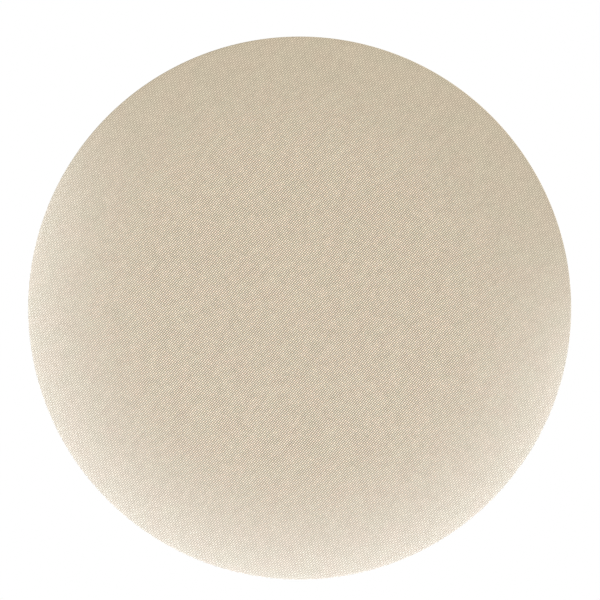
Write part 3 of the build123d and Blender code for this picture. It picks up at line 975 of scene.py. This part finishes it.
def shared_material(name, make, *arguments, **options):
    """A material that several pieces share, made the first time that it is asked for."""
    return bpy.data.materials.get(name) or make(name, *arguments, **options)


def thread_material(context):
    """The sewing thread of every row of stitches."""
    return shared_material("polyester_thread", sewing_thread, context.scene.backdrop_cloth.thread_colour)


def enamel_material():
    """The painted zinc of the zip's stops, slider and pull."""
    return shared_material(
        "zip_enamel", metal, (0.38, 0.31, 0.22), (0.66, 0.62, 0.55), 0.36, (1, 1, 1), metallic=0.6,
    )


def arrange(nodes, groups):
    """Lays the nodes out in columns, one frame for each effect."""
    left = 0
    for title, members in groups.items():
        box = nodes.new("NodeFrame")
        box.label = title
        for count, node in enumerate(members):
            node.parent = box
            node.location = (left + 240 * (count // 4), -260 * (count % 4))
        left += 240 * (1 + len(members) // 4) + 120


# Pieces


def face_outline():
    """The face cloth's skin as (radius, y) points, from the middle of the face to its turned-back edge."""
    corner_radius = RIM_RADIUS - RIM_CORNER
    corner_y = RIM_HALF - RIM_CORNER
    shoulder = corner_radius + RIM_CORNER * sin(CROWN_SLOPE)
    crown_radius = (shoulder - CROWN_START) / sin(CROWN_SLOPE)
    points = [(CROWN_START * step / 15, FACE_FRONT) for step in range(16)]
    for step in range(1, 21):
        turn = CROWN_SLOPE * step / 20
        points.append((CROWN_START + crown_radius * sin(turn), FACE_FRONT + crown_radius * (1 - cos(turn))))
    for step in range(1, 5):
        turn = CROWN_SLOPE + (pi / 2 - CROWN_SLOPE) * step / 4
        points.append((corner_radius + RIM_CORNER * sin(turn), -corner_y - RIM_CORNER * cos(turn)))
    points += [(RIM_RADIUS, 0), (RIM_RADIUS, corner_y)]
    for step in range(1, 4):
        turn = pi / 2 * step / 3
        points.append((corner_radius + RIM_CORNER * cos(turn), corner_y + RIM_CORNER * sin(turn)))
    inward = (294 * MM, 288 * MM, 282 * MM, 276 * MM, WINDOW_OUTER, 266 * MM, RETURN_EDGE)
    points += [(radius, RIM_HALF) for radius in inward]
    return points


class BACKDROP_OT_face_cloth(bpy.types.Operator):
    """Make the linen face cloth, from the crown over the rim to its turned-back edge"""

    bl_idname = "backdrop.face_cloth"
    bl_label = "Face cloth"

    def execute(self, context):
        settings = context.scene.backdrop_cloth
        outline = face_outline()
        cloth = lathe("face_cloth", outline, TURN_STEPS)
        face_towards(cloth, (0, -1, 0))
        delete_faces(cloth, lambda point: in_window(point, 0, WINDOW_OUTER))
        lay_flat(cloth, outline)
        apply_modifier(cloth, "SOLIDIFY", thickness=FACE_CLOTH, offset=-1)
        smooth(cloth)
        linen = woven_cloth(
            "slubbed_linen", settings.warp_colour, settings.weft_colour, settings.gap_colour,
            settings.thread_pitch, (settings.warp_angle, settings.weft_angle), warp_share=0.1, slub=0.05,
            warp_gap=1.05, weft_gap=0.76, wander=0.3, fade=0.04, tight_edge=0.65,
        )
        finish_piece(cloth, linen, ["face_cloth_upper", "face_cloth_lower"])
        fold_with_panel(cloth)
        return {"FINISHED"}


def back_outline():
    """The back cloth's outer skin as (radius, y) points: flat, then stepped up over the lap."""
    points = [(250 * MM * step / 25, BACK_FLAT) for step in range(26)]
    points += [(254.5 * MM, BACK_FLAT), (LAP_START - 0.5 * MM, BACK_FLAT)]
    lap = (261, 262.8, 264.5, 266.2, 268.1, 270, 271.2)
    points += [(radius * MM, LAP_TOP) for radius in lap]
    points += [(BACK_EDGE, LAP_TOP - 0.2 * MM)]
    return points


def pucker_waves(settings):
    """The soft radial gathers of the back, as (waves in a full turn, phase, share) rows."""
    chance = random.Random(settings.seed)
    waves = [(chance.randint(38, 96), chance.uniform(0, 2 * pi), chance.uniform(0.4, 1)) for _ in range(9)]
    total = sum(share for _, _, share in waves)
    return [(count, phase, share / total) for count, phase, share in waves]


def pucker(point, waves):
    """How far the back cloth stands proud here, where the seam draws it into soft gathers."""
    radius = hypot(point.x, point.z)
    turn = atan2(point.z, point.x)
    beside = min(abs(radius - row) for row in SEAM_ROWS)
    fade = max(0, 1 - beside / PUCKER_REACH) * min(1, beside / (2 * MM))
    gather = PUCKER_DEPTH * fade * sum(share * sin(count * turn + phase) for count, phase, share in waves)
    return gather - STITCH_DENT * max(0, 1 - beside / (1.2 * MM))


class BACKDROP_OT_back_cloth(bpy.types.Operator):
    """Make the cotton back cloth, lapped over the face cloth's edge"""

    bl_idname = "backdrop.back_cloth"
    bl_label = "Back cloth"

    def execute(self, context):
        settings = context.scene.backdrop_cloth
        outline = back_outline()
        cloth = lathe("back_cloth", outline, TURN_STEPS)
        face_towards(cloth, (0, 1, 0))
        delete_faces(cloth, lambda point: in_window(point, WINDOW_INNER, BACK_EDGE))
        lay_flat(cloth, outline)
        waves = pucker_waves(context.scene.backdrop_sewing)
        for vertex in cloth.data.vertices:
            vertex.co.y += pucker(vertex.co, waves)
        apply_modifier(cloth, "SOLIDIFY", thickness=BACK_CLOTH, offset=-1)
        smooth(cloth)
        cotton = woven_cloth(
            "unbleached_cotton", settings.back_colour, settings.back_colour,
            [part * 0.45 for part in settings.back_colour], 1.1 * MM, ALONG_AND_ACROSS, slub=0.08,
            warp_gap=0.5, weft_gap=0.4, warp_share=0,
        )
        finish_piece(cloth, cotton, ["back_cloth_upper", "back_cloth_lower"])
        fold_with_panel(cloth)
        return {"FINISHED"}


class BACKDROP_OT_liner(bpy.types.Operator):
    """Make the soft liner that crowns the face"""

    bl_idname = "backdrop.liner"
    bl_label = "Liner"

    def execute(self, context):
        front = LINER_LOW.y
        base = LINER_HIGH.y
        rounding = 4 * MM
        shoulder = LINER_HIGH.x - rounding
        fall = (LINER_HIGH.x - CROWN_START) * tan(CROWN_SLOPE * 0.44)
        edge = front + fall
        points = [(CROWN_START * step / 12, front) for step in range(13)]
        for step in range(1, 13):
            share = step / 12
            points.append((CROWN_START + (shoulder - CROWN_START) * share, front + fall * share**2))
        middle = (edge + base) / 2
        half = (base - edge) / 2
        for step in range(1, 7):
            turn = -pi / 2 + pi * step / 6
            points.append((shoulder + rounding * cos(turn), middle + half * sin(turn)))
        points += [(shoulder * (1 - step / 14), base) for step in range(1, 15)]
        pad = lathe("liner", points, 240)
        face_towards(pad, (0, -1, 0))
        bpy.ops.object.shade_smooth()
        wadding = fleece("liner_fleece", (0.83, 0.80, 0.74))
        finish_piece(pad, wadding, ["liner_upper", "liner_lower"])
        fold_with_panel(pad)
        return {"FINISHED"}


class BACKDROP_OT_core(bpy.types.Operator):
    """Make the core: its taut membrane, the tape sleeve round the band and the sleeve's stitching"""

    bl_idname = "backdrop.core"
    bl_label = "Core membrane and sleeve"

    def execute(self, context):
        sewing = context.scene.backdrop_sewing
        radius = MEMBRANE_HIGH.x
        half = MEMBRANE_HIGH.y
        disc = [(radius * step / 40, half) for step in range(41)]
        membrane = lathe("core_membrane", disc, 240)
        face_towards(membrane, (0, 1, 0))
        lay_flat(membrane, disc)
        apply_modifier(membrane, "SOLIDIFY", thickness=2 * half, offset=-1)
        smooth(membrane)
        taffeta = woven_cloth(
            "membrane_taffeta", (0.78, 0.77, 0.74), (0.74, 0.73, 0.7), (0.4, 0.39, 0.37),
            0.5 * MM, ALONG_AND_ACROSS, slub=0.04, warp_gap=0.35, weft_gap=0.35, warp_share=0,
        )
        finish_piece(membrane, taffeta, ["core_membrane_upper", "core_membrane_lower"])
        fold_with_panel(membrane)

        outline = self.sleeve_outline()
        sleeve = lathe("band_sleeve", outline, 240)
        face_towards(sleeve, (0, 1, 0))
        lay_along(sleeve, outline)
        apply_modifier(sleeve, "SOLIDIFY", thickness=0.4 * MM, offset=0)
        smooth(sleeve)
        tape = woven_cloth(
            "bias_tape", (0.72, 0.70, 0.65), (0.66, 0.64, 0.59), (0.3, 0.28, 0.25),
            0.7 * MM, ALONG_AND_ACROSS, slub=0.06, warp_gap=0.5, weft_gap=0.6, warp_share=0,
        )
        finish_piece(sleeve, tape, ["band_sleeve_upper", "band_sleeve_lower"])
        fold_with_panel(sleeve)

        chance = random.Random(sewing.seed + 1)
        places = []
        row_radius = 289 * MM
        long_pitch = 2 * sewing.stitch_pitch
        long_stitch = 5.6 * MM
        for side in (-1, 1):
            y = side * (0.65 * MM + sewing.thread_radius * 0.5)
            places += ring_places(row_radius, y, [(-pi, pi)], long_pitch, (0, side, 0), chance)
        rows = place_copies("sleeve_stitches", one_stitch(sewing, long_stitch), places)
        thread = thread_material(context)
        finish_piece(rows, thread, ["sleeve_stitching_upper", "sleeve_stitching_lower"])
        fold_with_panel(rows)
        return {"FINISHED"}

    def sleeve_outline(self):
        """The sleeve tape from one flap, round the band and back to the other flap."""
        low = 286 * MM
        neck = 290 * MM
        inner = SLEEVE_HIGH.x - 4.2 * MM
        outer = SLEEVE_HIGH.x - 0.2 * MM
        top = SLEEVE_HIGH.y - 0.2 * MM
        corner = 1.8 * MM
        flap = 0.45 * MM
        bend = (inner - 0.8 * MM, flap)
        wall = (inner, flap + 0.9 * MM)
        points = [(low, flap), (neck, flap), bend, wall, (inner, top - corner)]
        for centre_radius, centre_y, start in (
            (inner + corner, top - corner, pi),
            (outer - corner, top - corner, pi / 2),
            (outer - corner, corner - top, 0),
            (inner + corner, corner - top, -pi / 2),
        ):
            for step in range(1, 5):
                turn = start - pi / 2 * step / 4
                points.append((centre_radius + corner * cos(turn), centre_y + corner * sin(turn)))
        points += [(wall[0], -wall[1]), (bend[0], -bend[1]), (neck, -flap), (low, -flap)]
        return points


class BACKDROP_OT_spring_band(bpy.types.Operator):
    """Make the spring-steel band, and finish the ferrule, rivets and boot of its splice"""

    bl_idname = "backdrop.spring_band"
    bl_label = "Spring band"

    def execute(self, context):
        inner = BAND_HIGH.x - 0.8 * MM
        outer = BAND_HIGH.x
        half = BAND_HIGH.y
        chamfer = 0.15 * MM
        outline = [
            (inner, chamfer - half), (inner, 0), (inner, half - chamfer), (inner + chamfer, half),
            (outer - chamfer, half), (outer, half - chamfer), (outer, 0), (outer, chamfer - half),
            (outer - chamfer, -half), (inner + chamfer, -half),
        ]
        gap = 0.6 * MM / BAND_HIGH.x
        band = lathe("spring_band", outline, 300, 2 * pi - gap, SPLICE_ANGLE + gap / 2, closed=True)
        smooth(band, radians(30))
        steel = metal("blued_steel", (0.10, 0.12, 0.17), (0.42, 0.42, 0.43), 0.32, (1, 12, 1))
        finish_piece(band, steel, ["spring_band_upper", "spring_band_lower"])
        fold_with_panel(band)

        plated = metal("zinc_plating", (0.62, 0.62, 0.58), (0.75, 0.74, 0.70), 0.38, (1, 6, 1))
        ferrule = bevelled_copy("splice_ferrule", "crimped_ferrule", 0.12 * MM)
        finish_piece(ferrule, plated, ["splice_ferrule"])
        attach(ferrule, "upper_half")
        rivets = bevelled_copy("splice_rivets", "domed_rivets", 0.25 * MM)
        alloy = metal("rivet_alloy", (0.78, 0.78, 0.77), (0.9, 0.9, 0.9), 0.3, (1, 1, 1))
        finish_piece(rivets, alloy, ["splice_rivets"])
        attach(rivets, "upper_half")
        dress("splice_boot", moulded("black_rubber", (0.025, 0.025, 0.027), 0.5, 1800))
        return {"FINISHED"}


class BACKDROP_OT_seam_stitching(bpy.types.Operator):
    """Sew the two rows through the lapped seam on the back"""

    bl_idname = "backdrop.seam_stitching"
    bl_label = "Seam stitching"

    def execute(self, context):
        sewing = context.scene.backdrop_sewing
        chance = random.Random(sewing.seed + 2)
        arcs = [(SEAM_CLEAR, 2 * pi - SEAM_CLEAR)]
        places = []
        y = LAP_TOP - 0.1 * MM
        for radius in SEAM_ROWS:
            places += ring_places(radius, y, arcs, sewing.stitch_pitch, (0, 1, 0), chance)
        rows = place_copies("seam_stitches", one_stitch(sewing), places)
        thread = thread_material(context)
        finish_piece(rows, thread, ["seam_stitching_upper", "seam_stitching_lower"])
        fold_with_panel(rows)
        return {"FINISHED"}


class BACKDROP_OT_zip(bpy.types.Operator):
    """Make the zip's tapes, teeth, stops, end patches and stitching"""

    bl_idname = "backdrop.zip"
    bl_label = "Zip"

    def execute(self, context):
        sewing = context.scene.backdrop_sewing
        colour = context.scene.backdrop_cloth.tape_colour
        weave = (colour, [part * 0.9 for part in colour], [part * 0.4 for part in colour])
        webbing = woven_cloth("zip_webbing", *weave, 0.7 * MM, ALONG_AND_ACROSS, slub=0.05)
        reach = radians(63)
        woven_edge = 15 * MM
        for name, node, side in (("inner_tape", "zip_tape_inner", -1), ("outer_tape", "zip_tape_outer", 1)):
            near = ZIP_RADIUS + side * woven_edge
            far = ZIP_RADIUS + side * ZIP_CLEAR
            middle = (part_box(node)[0].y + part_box(node)[1].y) / 2
            outline = [(near + (far - near) * step / 12, middle) for step in range(13)]
            tape = lathe(name, outline, 168, 2 * reach, -pi / 2 - reach)
            face_towards(tape, (0, 1, 0))
            lay_along(tape, outline)
            apply_modifier(tape, "SOLIDIFY", thickness=0.5 * MM, offset=0)
            smooth(tape)
            finish_piece(tape, webbing, [node])
            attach(tape, "lower_half")
        slant = radians(28)
        patch_weave = woven_cloth("patch_webbing", *weave, 0.7 * MM, (slant, slant + pi / 2), source="OBJECT")
        patches = bevelled_copy("zip_end_patches", "end_patches", 0.15 * MM)
        finish_piece(patches, patch_weave, ["zip_end_patches"])
        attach(patches, "lower_half")
        enamel = enamel_material()
        for node, name in (("zip_top_stops", "top_stops"), ("zip_bottom_stop", "bottom_stop")):
            stops = bevelled_copy(node, name, 0.18 * MM)
            finish_piece(stops, enamel, [node])
            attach(stops, "lower_half")
        acetal = moulded("moulded_acetal", (0.44, 0.37, 0.27), 0.42, 2400)
        teeth_rows = (-1, "zip_teeth_in", "zip_teeth_inner"), (1, "zip_teeth_out", "zip_teeth_outer")
        for side, name, node in teeth_rows:
            row = self.teeth(side, name)
            finish_piece(row, acetal, [node])
            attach(row, "lower_half")

        places = self.stitch_places(sewing)
        rows = place_copies("zip_stitches", one_stitch(sewing), places)
        finish_piece(rows, thread_material(context), ["zip_stitching"])
        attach(rows, "lower_half")
        return {"FINISHED"}

    def stitch_places(self, sewing):
        """Where the stitches lie: one row along each tape, and two zigzags across each end patch."""
        chance = random.Random(sewing.seed + 3)
        arcs = [(-radians(60), radians(60))]
        inset = 2.3 * MM
        sunk = 0.1 * MM
        pitch = sewing.stitch_pitch
        places = ring_places(WINDOW_OUTER + inset, RIM_HALF + sunk, arcs, pitch, (0, 1, 0), chance)
        hem = ring_places(WINDOW_INNER - inset, BACK_FLAT + sunk, arcs, pitch, (0, 1, 0), chance)
        waves = pucker_waves(sewing)
        for place in hem:
            place.translation.y += pucker(place.translation, waves)
        places += hem
        first = 262.6 * MM
        spacing = 1.1 * MM
        for end in (-1, 1):
            for turn in (61.8, 64.9):
                angle = end * radians(turn)
                outward = Vector((sin(angle), 0, -cos(angle)))
                across = outward.cross((0, 1, 0))
                for step in range(9):
                    origin = outward * (first + spacing * step) + Vector((0, LAP_TOP + 0.6 * MM, 0))
                    lean = across + outward * (0.35 if step % 2 else -0.35)
                    places.append(standing(origin, lean, (0, 1, 0)) @ Matrix.Scale(0.55, 4, (1, 0, 0)))
        return places

    def teeth(self, side, name):
        """One row of moulded teeth on its corded edge."""
        pitch = 2.2 * MM
        reach = radians(60)
        root = 2.9 * MM
        length = root - ZIP_CLEAR
        bpy.ops.object.select_all(action="DESELECT")
        bpy.ops.mesh.primitive_cube_add(size=1, location=(0, 0, 0))
        tooth = bpy.context.object
        bpy.ops.object.mode_set(mode="EDIT")
        bpy.ops.transform.resize(value=(1.2 * MM, length, 2.0 * MM))
        select_faces(tooth, lambda face: face.normal.y > 0.9)
        bpy.ops.transform.resize(value=(1.45, 1, 0.8))
        bpy.ops.mesh.select_all(action="SELECT")
        bpy.ops.mesh.bevel(offset=0.16 * MM, segments=1, affect="EDGES")
        bpy.ops.mesh.select_mode(type="VERT")
        bpy.ops.object.mode_set(mode="OBJECT")
        middle_y = (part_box("zip_teeth_inner")[0].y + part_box("zip_teeth_inner")[1].y) / 2
        count = int(2 * reach * ZIP_RADIUS / pitch)
        places = []
        for step in range(count):
            turn = -reach + 2 * reach * (step + (0.25 if side < 0 else 0.75)) / count
            outward = Vector((sin(turn), 0, -cos(turn)))
            origin = outward * (ZIP_RADIUS + side * (ZIP_CLEAR + length / 2)) + Vector((0, middle_y, 0))
            along = outward.cross((0, 1, 0)) * side
            places.append(standing(origin, along, (0, 1, 0)))
        row = place_copies(name, tooth, places)
        bead = 0.55 * MM
        outline = [
            (ZIP_RADIUS + side * (root - bead) + bead * cos(turn), middle_y + bead * sin(turn))
            for turn in np.linspace(0, 2 * pi, 8, endpoint=False)
        ]
        cord = lathe("bead", outline, 160, 2 * reach, -pi / 2 - reach, closed=True)
        select_only(row)
        cord.select_set(True)
        bpy.ops.object.join()
        smooth(row, radians(30))
        return row


class BACKDROP_OT_slider(bpy.types.Operator):
    """Finish the zip's slider and its pull"""

    bl_idname = "backdrop.slider"
    bl_label = "Slider and pull"

    def execute(self, context):
        enamel = enamel_material()
        for node, name, body in (("zip_slider", "slider", "slider"), ("zip_pull", "pull_tab", "pull")):
            piece = bevelled_copy(node, name, 0.22 * MM, 3)
            finish_piece(piece, enamel, [node])
            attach(piece, body)
        return {"FINISHED"}


class BACKDROP_OT_hanging_tab(bpy.types.Operator):
    """Make the webbing tab, its box stitching and its brass eyelet"""

    bl_idname = "backdrop.hanging_tab"
    bl_label = "Hanging tab"

    def execute(self, context):
        colour = context.scene.backdrop_cloth.tape_colour
        sewing = context.scene.backdrop_sewing
        webbing = woven_cloth(
            "tab_webbing", colour, [part * 0.92 for part in colour], [part * 0.35 for part in colour],
            1.25 * MM, ALONG_AND_ACROSS, source="OBJECT", slub=0.08, warp_gap=0.8, weft_gap=0.55,
            warp_share=0.2, relief=0.6,
        )
        tab = bevelled_copy("hanging_tab", "webbing_tab", 0.45 * MM, 3)
        finish_piece(tab, webbing, ["hanging_tab"])
        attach(tab, "upper_half")

        chance = random.Random(sewing.seed + 4)
        half = 9.5 * MM
        middle = 244.5 * MM
        y = TAB_LOW.y + 2.05 * MM
        corners = [(-half, -half), (half, -half), (half, half), (-half, half)]
        runs = list(zip(corners, corners[1:] + corners[:1]))
        runs += [(corners[0], corners[2]), (corners[1], corners[3])]
        places = []
        for start, end in runs:
            start, end = [Vector((x, y, middle + z)) for x, z in (start, end)]
            run = end - start
            count = round(run.length / (0.8 * sewing.stitch_pitch))
            for step in range(count):
                origin = start + run * (step + 0.5) / count
                origin.x += chance.uniform(-0.05, 0.05) * MM
                places.append(standing(origin, run, (0, 1, 0)))
        rows = place_copies("tab_stitches", one_stitch(sewing, 2.3 * MM), places)
        finish_piece(rows, thread_material(context), ["tab_stitching"])
        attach(rows, "upper_half")

        brass = metal("aged_brass", (0.56, 0.38, 0.14), (0.80, 0.62, 0.30), 0.3, (1, 1, 1))
        for node, name in (("eyelet_barrel", "eyelet"), ("eyelet_washer", "washer")):
            ring = bevelled_copy(node, name, 0.15 * MM)
            finish_piece(ring, brass, [node])
            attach(ring, "upper_half")
        return {"FINISHED"}


class BACKDROP_OT_care_label(bpy.types.Operator):
    """Make the blank satin care label, caught under the back cloth's lap"""

    bl_idname = "backdrop.care_label"
    bl_label = "Care label"

    def execute(self, context):
        turn = radians(128)
        root = 240 * MM
        outward = Vector((cos(turn), 0, sin(turn)))
        across = Vector((-sin(turn), 0, cos(turn)))
        length = 19 * MM
        width = 30 * MM
        bpy.ops.object.select_all(action="DESELECT")
        bpy.ops.mesh.primitive_grid_add(x_subdivisions=16, y_subdivisions=24, size=1)
        label = bpy.context.object
        label.name = "label_ribbon"
        layer = label.data.uv_layers[0]
        layer.name = "cloth"
        for loop in label.data.loops:
            point = label.data.vertices[loop.vertex_index].co
            layer.data[loop.index].uv = (point.x * length, point.y * width)
        for vertex in label.data.vertices:
            along = vertex.co.x + 0.5
            lift = 0.3 * MM + 2.4 * MM * (1 - along) ** 2 * (1 + 0.35 * sin(5 * vertex.co.y + 1))
            reach = (LABEL_LOW.y + lift) * Vector((0, 1, 0))
            vertex.co = outward * (root + along * length) + across * vertex.co.y * width + reach
        apply_modifier(label, "SOLIDIFY", thickness=0.25 * MM, offset=0)
        smooth(label)
        satin = woven_cloth(
            "satin_ribbon", (0.74, 0.72, 0.68), (0.70, 0.68, 0.64), (0.45, 0.43, 0.40), 0.35 * MM,
            (0, pi / 2), slub=0.03, warp_gap=0.2, weft_gap=0.3, warp_share=0.3,
        )
        finish_piece(label, satin, ["care_label"])
        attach(label, "upper_half")
        return {"FINISHED"}


class BACKDROP_OT_stage(bpy.types.Operator):
    """Make the floor, the lights and the camera"""

    bl_idname = "backdrop.stage"
    bl_label = "Stage"

    def execute(self, context):
        settings = context.scene.backdrop_stage
        bpy.ops.object.select_all(action="DESELECT")
        bpy.ops.mesh.primitive_plane_add(size=settings.floor_size, location=(0, 0, settings.floor_height))
        floor = context.object
        floor.name = "floor"
        floor.visible_shadow = False  # so that the low fill can shine up through it
        floor.data.materials.append(floor_paper())
        world_light(context.scene, settings.ambient)
        place_camera(context.scene, settings.lens)
        place_lights(settings)
        return {"FINISHED"}


def floor_paper():
    """Plain pale studio paper."""
    material, nodes, links = empty_material("floor_paper")
    place = nodes.new("ShaderNodeTexCoord")
    place.label = "Place on the floor"
    grain = nodes.new("ShaderNodeTexNoise")
    grain.label = "Paper grain"
    grain.inputs["Scale"].default_value = 60
    grain.inputs["Detail"].default_value = 4
    tint = nodes.new("ShaderNodeValToRGB")
    tint.label = "Pale paper"
    tint.color_ramp.elements[0].color = (0.80, 0.80, 0.79, 1)
    tint.color_ramp.elements[1].color = (0.84, 0.84, 0.83, 1)
    paper = nodes.new("ShaderNodeBsdfPrincipled")
    paper.label = "Matte paper"
    paper.inputs["Roughness"].default_value = 0.95
    paper.inputs["Specular IOR Level"].default_value = 0.1
    output = nodes.new("ShaderNodeOutputMaterial")
    output.label = "Floor"
    links.new(place.outputs["Object"], grain.inputs["Vector"])
    links.new(grain.outputs["Fac"], tint.inputs["Fac"])
    links.new(tint.outputs["Color"], paper.inputs["Base Color"])
    links.new(paper.outputs["BSDF"], output.inputs["Surface"])
    arrange(nodes, {"Grain": (place, grain, tint), "Surface": (paper, output)})
    return material


def world_light(scene, ambient):
    """White surroundings for the camera, and a weaker even light for the object."""
    world = bpy.data.worlds.new("studio")
    scene.world = world
    world.use_nodes = True
    nodes = world.node_tree.nodes
    links = world.node_tree.links
    nodes.clear()
    seen = nodes.new("ShaderNodeBackground")
    seen.label = "White wall, as seen"
    lighting = nodes.new("ShaderNodeBackground")
    lighting.label = "Even light on the object"
    lighting.inputs["Strength"].default_value = ambient
    ray = nodes.new("ShaderNodeLightPath")
    ray.label = "Seen directly or not"
    pick = nodes.new("ShaderNodeMixShader")
    pick.label = "Wall or light"
    output = nodes.new("ShaderNodeOutputWorld")
    output.label = "Surroundings"
    seen.inputs["Color"].default_value = (1, 1, 1, 1)
    lighting.inputs["Color"].default_value = (1, 1, 1, 1)
    links.new(ray.outputs["Is Camera Ray"], pick.inputs["Fac"])
    links.new(lighting.outputs["Background"], pick.inputs[1])
    links.new(seen.outputs["Background"], pick.inputs[2])
    links.new(pick.outputs["Shader"], output.inputs["Surface"])
    arrange(nodes, {"Surroundings": (ray, lighting, seen, pick, output)})
    scene.view_settings.view_transform = "Standard"


def place_camera(scene, lens):
    """A level camera straight in front, with the disc a little under nine tenths of the picture's width."""
    bpy.ops.object.select_all(action="DESELECT")
    bpy.ops.object.camera_add(location=(0, 0, 0), rotation=(pi / 2, 0, 0))
    camera = bpy.context.object
    camera.data.lens = lens
    disc_share = 0.9035
    picture_width = 2 * RIM_RADIUS / disc_share
    distance = picture_width * lens / camera.data.sensor_width
    aside = 0.0004
    rise = 0.0135 * picture_width
    camera.location = (aside, -distance, rise)
    scene.camera = camera


def add_light(name, place, size, watts, colour):
    """One soft light that shines at the disc's centre, unseen by the camera. Its size is along and across."""
    outward = Vector(place).normalized()
    along = Vector((0, 1, 0)).cross(outward).normalized()
    across = outward.cross(along)
    bpy.ops.object.select_all(action="DESELECT")
    bpy.ops.object.light_add(type="AREA", location=place)
    light = bpy.context.object
    light.name = name
    light.rotation_euler = Matrix((along, across, outward)).transposed().to_euler()
    light.data.shape = "RECTANGLE"
    light.data.size, light.data.size_y = size
    light.data.energy = watts
    light.data.color = colour
    light.visible_camera = False


def place_lights(settings):
    """A front key, a low fill, a rear light, and equal strips round the rim, just in front of the face."""
    add_light("key", (0, -2.4, 0.6), (1.2, 1.2), settings.key, (1, 0.96, 0.79))
    add_light("fill", (-0.8, -1.8, -5.6), (1.6, 1.6), settings.fill, (0.54, 0.61, 1))
    add_light("rear", (1.9, 0.9, 1.5), (0.7, 0.7), settings.rear, (1, 0.98, 0.95))
    ring = 0.4
    in_front = 0.05
    for step in range(7):
        turn = radians(-105 + 30 * step)
        place = (ring * sin(turn), -in_front, -ring * cos(turn))
        add_light(f"edge_{step}", place, (0.2, 0.03), settings.edge, (0.66, 0.78, 1))


PIECE_OPERATORS = (
    BACKDROP_OT_face_cloth,
    BACKDROP_OT_back_cloth,
    BACKDROP_OT_liner,
    BACKDROP_OT_core,
    BACKDROP_OT_spring_band,
    BACKDROP_OT_seam_stitching,
    BACKDROP_OT_zip,
    BACKDROP_OT_slider,
    BACKDROP_OT_hanging_tab,
    BACKDROP_OT_care_label,
    BACKDROP_OT_stage,
)


class BACKDROP_PT_panel(bpy.types.Panel):
    """The backdrop's pieces and settings"""

    bl_idname = "BACKDROP_PT_panel"
    bl_label = "Backdrop panel"
    bl_space_type = "VIEW_3D"
    bl_region_type = "UI"
    bl_category = "Backdrop"

    def draw(self, context):
        for operator in PIECE_OPERATORS:
            self.layout.operator(operator.bl_idname)


SETTINGS = {
    "backdrop_cloth": BackdropCloth,
    "backdrop_sewing": BackdropSewing,
    "backdrop_stage": BackdropStage,
}


def register():
    for name, group in SETTINGS.items():
        bpy.utils.register_class(group)
        setattr(bpy.types.Scene, name, PointerProperty(type=group))
    for operator in PIECE_OPERATORS:
        bpy.utils.register_class(operator)
    bpy.utils.register_class(BACKDROP_PT_panel)


def unregister():
    bpy.utils.unregister_class(BACKDROP_PT_panel)
    for operator in reversed(PIECE_OPERATORS):
        bpy.utils.unregister_class(operator)
    for name, group in SETTINGS.items():
        delattr(bpy.types.Scene, name)
        bpy.utils.unregister_class(group)


def main():
    """Makes every piece and the stage."""
    register()
    bpy.ops.backdrop.face_cloth()
    bpy.ops.backdrop.back_cloth()
    bpy.ops.backdrop.liner()
    bpy.ops.backdrop.core()
    bpy.ops.backdrop.spring_band()
    bpy.ops.backdrop.seam_stitching()
    bpy.ops.backdrop.zip()
    bpy.ops.backdrop.slider()
    bpy.ops.backdrop.hanging_tab()
    bpy.ops.backdrop.care_label()
    bpy.ops.backdrop.stage()


if __name__ == "__main__":
    main()
